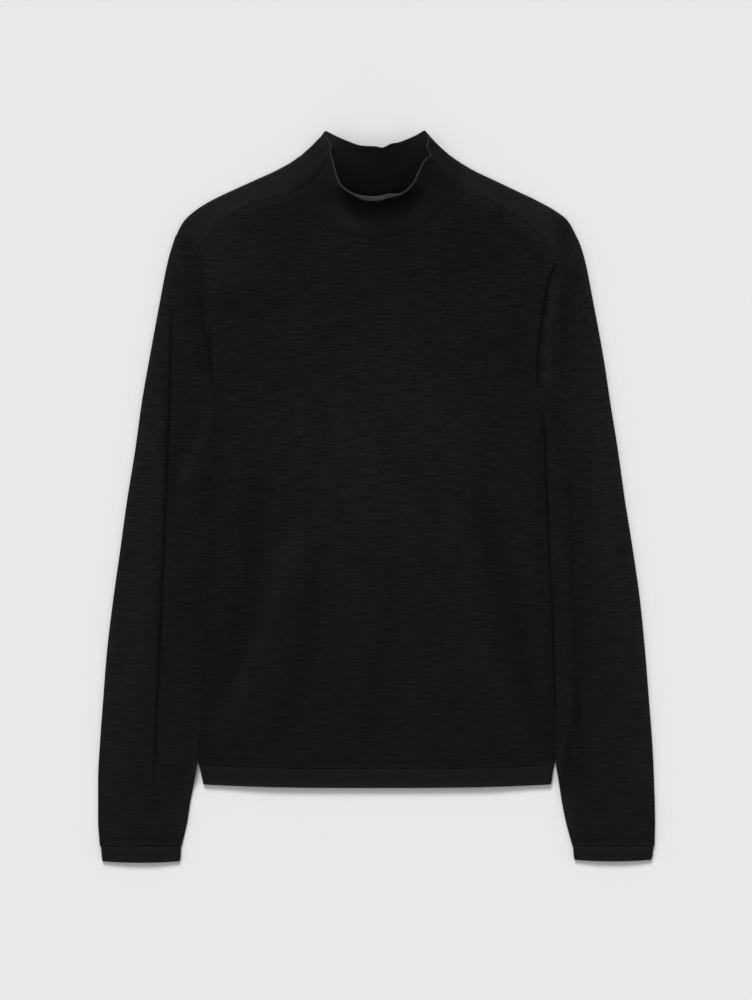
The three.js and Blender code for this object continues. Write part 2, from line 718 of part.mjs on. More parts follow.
function collar() {
  const stations = COLLAR.map(({ across, up, layer, edgeAcross, edgeUp, edgeRise }) => {
    const seam = plan(across, up);
    const edge = new THREE.Vector3(edgeAcross, edgeUp, edgeRise);
    const towardsEdge = plan(edgeAcross, edgeUp).sub(seam).normalize();
    const rise = lerp(COLLAR_RISE, bodyRise(seam), layer);
    return { seam: raised(seam.addScaledVector(towardsEdge, NECK_GAP), rise), edge };
  });
  const closed = (name) => new THREE.CatmullRomCurve3(stations.map((s) => s[name]), true, "centripetal");
  const [seam, edge] = [closed("seam"), closed("edge")];
  const columns = steps(2 * stations.length);
  const grid = steps(COLLAR_STEPS).map((v) =>
    columns.map((t) => {
      const [low, high] = [seam.getPoint(t % 1), edge.getPoint(t % 1)];
      const front = smooth(low.z, COLLAR_RISE, COLLAR_RISE + COLLAR_FRONT_RISE);
      const foot = COLLAR_FOOT * front;
      const steepening = lerp(COLLAR_STEEPENING.back, COLLAR_STEEPENING.front, front);
      const point = low.clone().lerp(high, v);
      const sag = 4 * v * (1 - v) * smooth(Math.abs(low.x), COLLAR_SAG.from, COLLAR_SAG.to);
      point.x -= Math.sign(low.x) * COLLAR_SAG.across * sag;
      point.y -= COLLAR_SAG.up * sag;
      point.z = lerp(low.z, high.z, (Math.max(0, v - foot) / (1 - foot)) ** steepening);
      return point;
    }),
  );
  const surface = new MiddleSurface();
  surface.grid(grid);
  return surface;
}

const knit = (color) => new THREE.MeshStandardMaterial({ color, roughness: 0.95, metalness: 0 });

function piece(name, surface, wall, color) {
  const mesh = new THREE.Mesh(surface.thicken(wall), knit(color));
  mesh.name = name;
  return mesh;
}

const sweater = new THREE.Group();
sweater.name = "sweater";
sweater.add(
  piece("back_panel", backPanel(), WALL, "#1b1b1d"),
  piece("front_panel", frontPanel(), WALL, "#1b1b1d"),
  piece("collar", collar(), BAND_WALL, "#1d1d1f"),
  piece("sleeve_right", sleeve("right"), WALL, "#1b1b1d"),
  piece("sleeve_left", sleeve("left"), WALL, "#1b1b1d"),
  piece("hem_band", hemBand(), BAND_WALL, "#1d1d1f"),
  piece("cuff_right", cuff("right"), BAND_WALL, "#1d1d1f"),
  piece("cuff_left", cuff("left"), BAND_WALL, "#1d1d1f"),
);

// The origin is under the centre of the whole piece.
const bounds = new THREE.Box3().setFromObject(sweater);
const centre = bounds.getCenter(new THREE.Vector3());
for (const mesh of sweater.children) mesh.geometry.translate(-centre.x, -centre.y, -bounds.min.z);

export default sweater;
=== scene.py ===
"""Looks of a black fine-knit sweater with a low standing collar, laid flat on a pale surface."""

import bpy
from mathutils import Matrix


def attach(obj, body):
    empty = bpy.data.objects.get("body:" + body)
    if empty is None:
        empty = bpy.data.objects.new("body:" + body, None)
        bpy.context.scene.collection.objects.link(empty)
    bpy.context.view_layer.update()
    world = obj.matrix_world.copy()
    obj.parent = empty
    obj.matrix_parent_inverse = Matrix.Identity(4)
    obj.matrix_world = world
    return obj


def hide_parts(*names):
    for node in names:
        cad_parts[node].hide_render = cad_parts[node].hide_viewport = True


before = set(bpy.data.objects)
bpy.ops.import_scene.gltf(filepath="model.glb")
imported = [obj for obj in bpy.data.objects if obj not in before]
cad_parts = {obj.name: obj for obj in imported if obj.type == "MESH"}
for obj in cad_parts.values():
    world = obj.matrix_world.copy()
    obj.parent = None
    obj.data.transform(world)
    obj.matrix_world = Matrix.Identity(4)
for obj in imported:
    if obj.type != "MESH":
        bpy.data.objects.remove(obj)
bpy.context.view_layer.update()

import logging
import math
from dataclasses import dataclass
from enum import Enum
from typing import Callable, Sequence

import bpy
import numpy as np

LOG = logging.getLogger("sweater")
Array = np.ndarray
Points = Sequence[tuple[float, float]]

# Lengths are in millimetres until a mesh is made. In the tables "out" is the distance from the
# centre line, "across" the same with its sign (+ is the wearer's left), and "up" the distance
# above the lowest point of the hem. LAY_CENTRE is the frame's origin in those terms.
MM = 0.001
LAY_CENTRE = (-0.55, 314.72)


class Side(Enum):
    """The wearer's right and left, with the sign of the distance across."""

    RIGHT = -1
    LEFT = 1

    @property
    def column(self) -> str:
        """Name of this side's column in the tables."""
        return self.name.lower()


class FoldShape(Enum):
    """Cross-section of a fold: a soft swell or a pinched crease."""

    SOFT = "soft"
    PINCHED = "pinched"


@dataclass(frozen=True)
class Fold:
    """A fold of the upper cloth along a line of points across and up.

    Args:
        height: height at its middle; a negative one is a trough.
        width: distance over which it dies away.
        line: the points that it runs through.
        light: how much painted light it adds along it; a negative one is painted shade.
        shape: its cross-section.
    """

    height: float
    width: float
    line: Points
    light: float = 0.0
    shape: FoldShape = FoldShape.SOFT


@dataclass(frozen=True)
class ClothSizes:
    """Sizes of the cloth and of the way it lies, as in the solids."""

    wall: float = 1.2
    band_wall: float = 1.6
    seam_gap: float = 0.3
    neck_gap: float = -0.3
    body_roll: float = 1.6
    shoulder_roll: float = 2.0
    sleeve_roll: float = 1.8
    cuff_roll: float = 1.7
    body_loft: float = 1.7
    sleeve_loft: float = 1.2
    neck_point_up: float = 675.0
    underarm_up: float = 424.4
    hem_seam_up: float = 21.3
    hem_bow: float = 3.8
    cuff_seam_up: float = -62.4
    hem_end_up: float = 1.3
    cuff_bow: float = 1.6
    cuff_end_up: float = -79.0
    sleeve_lift: float = 5.1
    lift_start_drop: float = 38.0
    lift_end_up: float = 20.0
    lift_fade: float = 50.0
    lift_reach: float = 4.0
    lift_ramp: float = 14.0
    collar_foot: float = 0.3
    collar_back_steepening: float = 1.1
    collar_front_steepening: float = 2.3
    collar_front_rise: float = 3.0
    sleeve_inner_rounding: float = 1.9
    fuzz: float = 0.45
    sleeve_rounding: float = 1.2
    sleeve_rounding_reach: float = 16.0
    shoulder_rounding: float = 1.3
    shoulder_rounding_reach: float = 24.0
    sleeve_thinning: float = 1.1
    underarm_reach: float = 1.0

    @property
    def floor_rise(self) -> float:
        """Height of the middle of the lower cloth."""
        return self.wall / 2

    @property
    def band_rise(self) -> float:
        """Height of the middle of the lower cloth of a band."""
        return self.band_wall / 2


SIZES = ClothSizes()


class Curves:
    """Smooth curves of the columns of a table, read at a value of its first column.

    Args:
        columns: the names of all the columns.
        rows: the rows of numbers, in any order.
    """

    def __init__(self, columns: str, rows: Sequence[Sequence[float]]) -> None:
        data = np.array(sorted(rows))
        self.at = data[:, 0]
        self.values = dict(zip(columns.split()[1:], data[:, 1:].T))
        self.tangents = {name: self._tangent(v) for name, v in self.values.items()}

    def _tangent(self, values: Array) -> Array:
        slope = np.diff(values) / np.diff(self.at)
        before, after = slope[:-1], slope[1:]
        product, total = before * after, before + after
        inner = np.where(product > 0, 2 * product / np.where(total == 0, 1, total), 0)
        return np.concatenate([slope[:1], inner, slope[-1:]])

    def __call__(self, name: str, position: Array | float) -> Array:
        """Value of a column at a position, held level beyond the table's ends.

        Args:
            name: the column.
            position: one or several values of the first column.

        Returns:
            The values there.
        """
        x = np.clip(position, self.at[0], self.at[-1])
        i = np.clip(np.searchsorted(self.at, x, side="right") - 1, 0, len(self.at) - 2)
        step = self.at[i + 1] - self.at[i]
        t = (x - self.at[i]) / step
        y, m = self.values[name], self.tangents[name]
        return (
            y[i] * (1 + 2 * t) * (1 - t) ** 2
            + y[i + 1] * t * t * (3 - 2 * t)
            + step * (m[i] * t * (1 - t) ** 2 - m[i + 1] * t * t * (1 - t))
        )


# Outer edge seen from above: over the shoulder, then down the outside of the sleeve.
OUTLINE = Curves("up right left", [
    (675.0, 94.5, 91.3), (667.4, 108.5, 104.2), (656.6, 132.3, 126.9), (645.8, 156.1, 149.6),
    (635.0, 178.7, 172.3), (624.2, 196.0, 191.7), (613.4, 207.9, 205.7), (602.6, 214.4, 212.2),
    (591.8, 218.7, 217.2), (570.2, 225.2, 224.1), (527.0, 233.8, 232.7), (462.2, 245.7, 244.6),
    (419.0, 253.3, 251.1), (365.0, 260.8, 259.7), (311.0, 269.5, 267.3), (257.0, 277.0, 275.9),
    (203.0, 284.6, 283.5), (149.0, 291.1, 288.9), (95.0, 295.4, 293.2), (51.8, 298.6, 296.5),
    (8.6, 300.8, 298.6), (-34.6, 300.8, 299.7), (-62.4, 298.9, 299.2),
])
ARMHOLE = Curves("up right left", [
    (584.0, 190.9, 198.0), (570.5, 189.3, 194.5), (560.0, 188.6, 190.2), (549.7, 188.0, 186.3),
    (520.6, 183.6, 180.9), (487.1, 178.2, 176.5), (460.1, 178.0, 173.6), (424.4, 176.6, 174.6),
])
SLEEVE_INNER = Curves("up right left", [
    (424.4, 176.8, 174.8), (405.0, 176.7, 176.3), (386.0, 177.0, 178.5), (351.0, 178.5, 179.8),
    (267.8, 182.0, 183.0), (203.0, 184.1, 186.3), (138.2, 187.4, 188.8), (73.4, 190.6, 190.2),
    (28.0, 193.9, 192.8), (8.6, 197.1, 196.0), (-13.0, 201.4, 199.3), (-34.6, 204.7, 203.6),
    (-62.4, 211.1, 211.1),
])
BODY_SIDE = Curves("up right left", [
    (424.4, 176.4, 174.4), (405.0, 176.2, 175.8), (386.0, 176.6, 178.0), (365.0, 185.0, 185.0),
    (332.6, 198.5, 198.0), (267.8, 208.5, 207.5), (203.0, 212.2, 211.1), (138.2, 212.0, 211.0),
    (84.2, 205.7, 204.7), (41.0, 197.1, 196.0), (19.4, 191.7, 190.6), (3.2, 188.0, 188.2),
    (-1.0, 187.2, 187.4),
])
CUFF = Curves("up right_outer right_inner left_outer left_inner", [
    (-62.4, 298.0, 211.6, 298.4, 211.6),
    (-73.4, 297.4, 212.0, 297.5, 212.2),
    (-79.8, 296.6, 213.0, 295.9, 213.3),
])

# Top of the armhole seam on the silhouette, and where the forward shoulder seam meets it, as out and up
ARMHOLE_TOP = {Side.RIGHT: (217.1, 596.6), Side.LEFT: (217.0, 592.0)}
ARMHOLE_JOINT = {Side.RIGHT: (190.9, 584.0), Side.LEFT: (194.5, 570.5)}
SHOULDER_SEAM = {
    Side.RIGHT: [(190.9, 584.0), (182.0, 597.0), (173.3, 608.0), (147.4, 625.3), (115.0, 637.2), (93.4, 642.6)],
    Side.LEFT: [(194.5, 570.5), (180.9, 592.9), (160.4, 611.3), (139.9, 625.3), (116.1, 637.2), (93.4, 642.6)],
}
FRONT_NECK = [
    (-93.4, 642.6), (-83.7, 632.9), (-66.5, 615.8), (-49.0, 601.6), (-24.0, 596.4),
    (0.0, 595.0), (20.0, 598.3), (48.1, 607.0), (71.8, 625.3), (93.4, 642.6),
]
BACK_NECK = [
    (-79.0, 664.5), (-58.0, 652.5), (-30.0, 643.5), (0.0, 640.9), (29.0, 643.5), (56.0, 652.5), (76.0, 664.5),
]

# Collar: across and up at the neck seam, the layer there (0 lower cloth, 1 upper), then the mouth
# across, up and above the floor, and how far the lip turns into the mouth.
COLLAR = [
    (0, 640.9, 0, -1, 691.9, 20, 0), (-30, 643.5, 0, -18, 693, 19, 0),
    (-58, 652.5, 0, -33, 698.3, 16.5, 0), (-79, 664.5, 0, -44, 703.2, 13.5, 0),
    (-92.7, 672.6, 0, -52.5, 707.8, 10.5, 0), (-94.0, 674.4, 0.5, -55.8, 708.8, 9, 0),
    (-92.9, 672.2, 1, -56.3, 704.5, 10, 0), (-93.3, 662, 1, -49.5, 693, 12.5, 0.3),
    (-93.4, 652, 1, -50.2, 685.5, 14, 0.3), (-93.4, 642.6, 1, -47.8, 676.5, 16, 0.4),
    (-83.7, 632.9, 1, -44, 661, 20, 0.5), (-66.5, 615.8, 1, -38.5, 649.5, 23.5, 0.6),
    (-49, 601.6, 1, -27, 641.2, 27, 0.9), (-24, 596.4, 1, -14.5, 635, 30, 3.8),
    (0, 595, 1, 1, 634, 31.5, 4.2), (20, 598.3, 1, 13, 637, 30.5, 3.6),
    (48.1, 607, 1, 27, 641, 27, 0.9), (67, 621.5, 1, 38, 650.5, 23, 0.6),
    (84, 635.2, 1, 44.5, 663, 19.5, 0.5), (93.4, 642.6, 1, 51, 676.5, 16, 0.4),
    (92, 652, 1, 57.5, 682.5, 14, 0.3), (91, 662, 1, 54, 692, 12.5, 0.3),
    (89.8, 672.2, 1, 55.5, 700.5, 10.5, 0), (90.8, 674.4, 0.5, 52.2, 708.9, 9, 0),
    (89.5, 672.6, 0, 49, 708.4, 10.5, 0), (76, 664.5, 0, 41.5, 703.9, 13.5, 0),
    (56, 652.5, 0, 29.5, 698.5, 16.5, 0), (42.5, 647.4, 0, 22.5, 696.2, 17.8, 0),
    (29, 643.5, 0, 15, 694.7, 19, 0), (12, 641.4, 0, 6.5, 690.8, 19.8, 0),
]
# How far the collar's folded sides sag inwards, across and up, where they are this far out
COLLAR_SAG = (1.4, 1.6)
COLLAR_SAG_FROM, COLLAR_SAG_TO = 70, 88

RIGHT_ARMHOLE_FOLD = [(-194, 545), (-189, 508), (-182, 474), (-177, 436)]
# In BODY_FOLDS, SLEEVE_FOLDS and COLLAR_FOLDS a fold's fourth number is painted light, or painted shade where negative.
BODY_FOLDS = (
    Fold(0.6, 11, [(-180, 36), (-131, 138), (-99, 246), (-77, 300)], 0.22),
    Fold(-0.6, 12, [(-180, 70), (-158, 138), (-137, 219), (-131, 300), (-120, 376)], -0.22),
    Fold(-0.5, 12, [(-124, 34), (-83, 127), (-66, 235), (-58, 290)], -0.2),
    Fold(-0.3, 11, [(-18, 20), (9, 181), (14, 275)], -0.1),
    Fold(0.3, 10, [(34, 20), (42, 170)], 0.1),
    Fold(-0.8, 11, [(187, 36), (160, 117), (139, 208), (123, 262), (106, 350)], -0.28),
    Fold(0.5, 9, [(184, 80), (166, 203), (150, 300)], 0.1),
    Fold(0.5, 13, [(144, 36), (123, 117), (101, 208), (80, 300)], 0.06),
    Fold(-0.5, 9, [(-166, 560), (-150, 500), (-146, 430)], -0.06),
    Fold(-0.45, 9, [(164, 545), (150, 490), (147, 425)], -0.08),
    Fold(-1.0, 2.6, RIGHT_ARMHOLE_FOLD, -0.55),
    Fold(0.6, 2.5, [(-186, 520), (-179, 490), (-172, 450)], 0.1),
    Fold(-0.6, 3.0, [(-168, 470), (-164, 440), (-168, 405)], -0.12),
)
RIGHT_CREASE = [(-221, 560), (-222, 484), (-226, 354), (-232, 203), (-238, 65), (-240, 0), (-240, -40)]
LEFT_CREASE = [(206, 400), (208, 330), (211, 240), (214, 160), (220, 50), (226, -20)]
# The fourth numbers are painted light, or painted shade where negative.
SLEEVE_FOLDS = {
    Side.RIGHT: (
        Fold(-2.6, 2.0, RIGHT_CREASE, -0.6, FoldShape.PINCHED),
        Fold(-0.5, 7.0, RIGHT_CREASE),
        Fold(-0.3, 9.0, [(-210, 500), (-216, 354), (-221, 203), (-229, 65)], -0.16),
        Fold(0.5, 13.0, [(-236, 460), (-247, 300), (-260, 150), (-272, 60)], 0.12),
        Fold(-0.5, 7.0, [(-268, 240), (-276, 120), (-280, 20)], -0.04),
        Fold(-0.8, 3.0, RIGHT_ARMHOLE_FOLD, -0.45),
        Fold(-0.6, 4.0, [(-204, 560), (-198, 500), (-190, 450)], -0.12),
    ),
    Side.LEFT: (
        Fold(-1.1, 5.5, LEFT_CREASE, -0.22),
        Fold(-0.7, 1.6, [(206, 360), (211, 240), (214, 160), (220, 50)], -0.1, FoldShape.PINCHED),
        Fold(-0.8, 5.0, [(207, 570), (204.6, 527), (202, 490), (201, 440)], -0.2),
        Fold(0.7, 4.0, [(195, 565), (189.5, 527), (187, 500), (185, 460), (184, 425)], 0.35),
        Fold(0.6, 5.0, [(196, 350), (200, 240), (204, 130)], 0.06),
        Fold(0.5, 11.0, [(232, 500), (244, 350), (258, 200)], 0.12),
    ),
}
CREASES = {Side.RIGHT: RIGHT_CREASE, Side.LEFT: LEFT_CREASE}
# The sleeve's painted line along the body, painted light on the right and painted shade on the left: how far out it
# lies, its reach and its change
PAINTED_LINE_BESIDE_BODY = {Side.RIGHT: (-0.4, 1.0, 1.5), Side.LEFT: (0.9, 2.6, -0.8)}
# How much higher the middle of each cuff's end is than the cuffs' common size
CUFF_HITCH = {Side.RIGHT: -0.5, Side.LEFT: 1.0}
# The fourth numbers are painted light, or painted shade where negative.
COLLAR_FOLDS = (
    Fold(-0.9, 2.2, [(-95, 642), (-79, 649), (-72, 653), (-59, 667), (-51, 682)], -0.3),
    Fold(0.5, 4.0, [(-90, 652), (-77, 660), (-64, 674)], 0.1),
    Fold(-0.6, 5.0, [(84, 640), (70, 655), (62, 668)], -0.08),
    Fold(0.5, 2.5, [(66, 690), (74, 684), (84, 672)], 0.12),
)

# Patches of painted light and shade on the body's front: across, up, reach across, reach up, change
FRONT_PAINTED_SHADING = (
    (0, 360, 120, 150, 0.14), (-166, 200, 42, 120, -0.08), (170, 200, 42, 120, -0.06),
    (-164, 585, 24, 40, 0.22), (82, 562, 60, 36, -0.12), (-131, 527, 50, 14, -0.1), (0, 50, 200, 60, -0.05),
)
# Seam between the collar and the shoulder, out and up, where the slubs fade
NECK_SIDE = [(93.4, 642.6), (92, 674)]
# Silhouette of the collar's sides, as out and up, with the painted light beside it and its reach
COLLAR_EDGE = [(94, 675), (56, 710)]
COLLAR_PAINTED_LIGHT = {Side.RIGHT: (0.8, 24.0), Side.LEFT: (0.55, 18.0)}


def smooth(value: Array | float, start: float, end: float) -> Array:
    """Rises smoothly from 0 at start to 1 at end."""
    t = np.clip((np.asarray(value, float) - start) / (end - start), 0, 1)
    return t * t * (3 - 2 * t)


def mix(a: Array | float, b: Array | float, share: Array | float) -> Array:
    """The value that lies at a share of the way from a to b."""
    return a + (b - a) * share


def spline(points: Points, fractions: Array, closed: bool = False) -> Array:
    """Points at fractions of the length of a smooth curve through points.

    Args:
        points: the points that the curve runs through.
        fractions: from 0 at the start to 1 at the end.
        closed: whether the curve returns to its start.

    Returns:
        An array of points, one for each fraction.
    """
    p = np.array(points, float)
    if closed:
        p = np.vstack([p[-1:], p, p[:2]])
    else:
        p = np.vstack([2 * p[0] - p[1], p, 2 * p[-1] - p[-2]])
    steps = 24
    t = (np.arange((len(p) - 3) * steps + 1) / steps)[:, None]
    i = np.minimum(t.astype(int), len(p) - 4)[:, 0]
    s = t - i[:, None]
    a, b, c, d = p[i], p[i + 1], p[i + 2], p[i + 3]
    curve = 0.5 * (
        2 * b + (c - a) * s + (2 * a - 5 * b + 4 * c - d) * s**2 + (3 * b - a - 3 * c + d) * s**3
    )
    length = np.concatenate([[0], np.cumsum(np.linalg.norm(np.diff(curve, axis=0), axis=1))])
    wanted = np.asarray(fractions) * length[-1]
    return np.stack([np.interp(wanted, length, curve[:, k]) for k in range(p.shape[1])], axis=1)


def distance_to(points: Array, line: Array) -> tuple[Array, Array]:
    """Distance in plan from points to a line of points, and how far along it the nearest place is.

    Args:
        points: points across and up, in an array of any shape.
        line: the line's points.

    Returns:
        The distances, and the places as fractions of the line's legs.
    """
    best = np.full(points.shape[:-1], np.inf)
    place = np.zeros(points.shape[:-1])
    for i, (start, end) in enumerate(zip(line[:-1], line[1:])):
        leg = end - start
        t = np.clip(((points - start) @ leg) / (leg @ leg), 0, 1)
        d = np.linalg.norm(points - start - t[..., None] * leg, axis=-1)
        place = np.where(d < best, (i + t) / (len(line) - 1), place)
        best = np.minimum(best, d)
    return best, place


SEAM_STEPS = np.array([0, 0.4, 1.0, 1.8, 2.8, 4.2])
WRINKLE_STEPS = np.array([0, 0.4, 1.0, 1.8, 2.8, 4.0, 5.4, 7.0, 8.8, 10.8, 13.0, 15.6, 18.6])


def graded(
    length: float, count: int, fine_start: bool = True, fine_end: bool = True, steps: Array = SEAM_STEPS
) -> Array:
    """Fractions of a length: a count of equal steps, with finer ones beside the chosen ends.

    Args:
        length: the length in millimetres.
        count: number of equal steps in the middle.
        fine_start: whether the steps are finer at the start.
        fine_end: whether they are finer at the end.
        steps: distances of the finer steps from the end.

    Returns:
        The fractions, from 0 to 1.
    """
    edge = steps * min(1.0, length / (4 * steps[-1]))
    start = edge if fine_start else edge[:1]
    end = length - edge[::-1] if fine_end else np.array([length])
    middle = np.linspace(start[-1], end[0], count + 1)[1:-1]
    return np.concatenate([start, middle, end]) / length


class Lay:
    """How the sweater lies: the heights of its layers at any place, in plan.

    Args:
        sizes: the cloth's sizes.
    """

    def __init__(self, sizes: ClothSizes) -> None:
        self.sizes = sizes
        self.seams = [line for side in Side for line in (self.shoulder_seam(side), self.armhole_seam(side))]
        self.seams.append(spline(FRONT_NECK, np.linspace(0, 1, 80)))
        self.shoulder_edges = {side: self.shoulder_edge(side, np.linspace(0, 1, 40)) for side in Side}
        self.dip_depth = 0.55
        self.dip_width = 1.5

    def shoulder_seam(self, side: Side, fractions: Array | None = None) -> Array:
        """The forward shoulder seam from the armhole to the neck."""
        line = [(side.value * out, up) for out, up in SHOULDER_SEAM[side]]
        return spline(line, np.linspace(0, 1, 50) if fractions is None else fractions)

    def armhole_seam(self, side: Side) -> Array:
        """The front armhole seam from the underarm to its top on the silhouette."""
        ups = np.linspace(self.sizes.underarm_up, ARMHOLE_JOINT[side][1], 60)
        line = np.stack([side.value * ARMHOLE(side.column, ups), ups], axis=1)
        top = np.array(ARMHOLE_TOP[side]) * (side.value, 1)
        return np.vstack([line, top])

    def shoulder_edge(self, side: Side, fractions: Array) -> Array:
        """The silhouette of a shoulder from the armhole's top to the neck."""
        ups = np.linspace(ARMHOLE_TOP[side][1], self.sizes.neck_point_up, 60)
        return spline(np.stack([side.value * OUTLINE(side.column, ups), ups], axis=1), fractions)

    def by_side(self, curves: Curves, point: Array) -> Array:
        """A table's value at points, each from the column of its own side."""
        up = point[..., 1]
        return np.where(point[..., 0] < 0, curves("right", up), curves("left", up))

    def folds(self, point: Array, folds: Sequence[Fold]) -> tuple[Array, Array]:
        """Height, and painted light and shade, that folds add at points."""
        height, light = np.zeros(point.shape[:-1]), np.zeros(point.shape[:-1])
        for fold in folds:
            away, along = distance_to(point, spline(fold.line, np.linspace(0, 1, 16)))
            reach = away / fold.width
            section = np.exp(-(reach**2)) if fold.shape is FoldShape.SOFT else np.exp(-(reach**1.2))
            section *= smooth(along, 0, 0.2) * (1 - smooth(along, 0.8, 1))
            height += fold.height * section
            light += fold.light * section
        return height, light

    def dip(self, point: Array) -> Array:
        """How far the cloth sinks into the seams of the upper layer."""
        away = np.min([distance_to(point, line)[0] for line in self.seams], axis=0)
        left = smooth(point[..., 0], 150, 170) * smooth(point[..., 1], 430, 450) * (1 - smooth(point[..., 1], 540, 560))
        return (self.dip_depth + 0.9 * left) * np.exp(-((away / (self.dip_width + 0.8 * left)) ** 2))

    def body_rise(self, point: Array) -> Array:
        """Middle of the front cloth above the floor."""
        s = self.sizes
        up = point[..., 1]
        edge = np.where(up > s.underarm_up, self.by_side(ARMHOLE, point), self.by_side(BODY_SIDE, point))
        clear = np.minimum(edge, self.by_side(SLEEVE_INNER, point) + 6) - np.abs(point[..., 0])
        thickness = 2 * mix(s.body_roll, s.shoulder_roll, smooth(up, 380, 540))
        swell = s.body_loft * (1 - 0.6 * smooth(up, 480, 600)) * smooth(clear, 4, 80)
        shoulder = np.min([distance_to(point, edge)[0] for edge in self.shoulder_edges.values()], axis=0)
        rounding = s.shoulder_rounding * (1 - smooth(shoulder, -2, s.shoulder_rounding_reach))
        folds = self.folds(point, BODY_FOLDS)[0] * smooth(clear, 0, 25)
        return s.floor_rise + thickness + swell - rounding + folds

    def sleeve_under(self, point: Array) -> Array:
        """Middle of the lower cloth of a sleeve, which climbs over the side of the body."""
        s = self.sizes
        up = point[..., 1]
        beyond = np.abs(point[..., 0]) - self.by_side(BODY_SIDE, point)
        start = smooth(s.underarm_up - up, 0, s.lift_start_drop)
        end = smooth(up, s.lift_end_up - s.lift_fade, s.lift_end_up)
        ramp = 1 - smooth(beyond, s.lift_reach, s.lift_reach + s.lift_ramp)
        return s.floor_rise + s.sleeve_lift * start * end * ramp

    def sleeve_top(self, point: Array, side: Side) -> Array:
        """Middle of the upper cloth of a sleeve, level with the body at the armhole."""
        s = self.sizes
        up, out = point[..., 1], np.abs(point[..., 0])
        inner = np.where(up > s.underarm_up, self.by_side(ARMHOLE, point), self.by_side(SLEEVE_INNER, point))
        outer = self.by_side(OUTLINE, point)
        middle = 1 - np.abs((2 * out - inner - outer) / (outer - inner))
        rounding = s.sleeve_rounding * (1 - smooth(outer - out, -4, s.sleeve_rounding_reach))
        thinning = s.sleeve_thinning * (1 - smooth(up, s.cuff_seam_up, s.cuff_seam_up + 90))
        if side is Side.RIGHT:
            tucked = s.sleeve_inner_rounding * (1 - smooth(out - inner, 0, 14))
            rounding = rounding + tucked * (1 - smooth(up, s.underarm_up - 40, s.underarm_up))
        own = (
            self.sleeve_under(point)
            + 2 * s.sleeve_roll
            + s.sleeve_loft * smooth(middle, 0, 0.8)
            + self.folds(point, SLEEVE_FOLDS[side])[0] * smooth(middle, 0, 0.3)
            - np.maximum(rounding, thinning)
        )
        at_armhole = smooth(up, s.underarm_up, s.underarm_up + 20) * (1 - smooth(out - inner, 0, 30))
        return mix(own, self.body_rise(point), at_armhole)

    def hem_bow(self, across: Array) -> Array:
        """How far the hem rises towards its ends."""
        return self.sizes.hem_bow * (np.abs(across) / BODY_SIDE("right", 0.0)) ** 3


def raised(plan: Array, rise: Array | float) -> Array:
    """Points in plan, with a height."""
    return np.concatenate([plan, np.broadcast_to(rise, plan.shape[:-1])[..., None]], axis=-1)


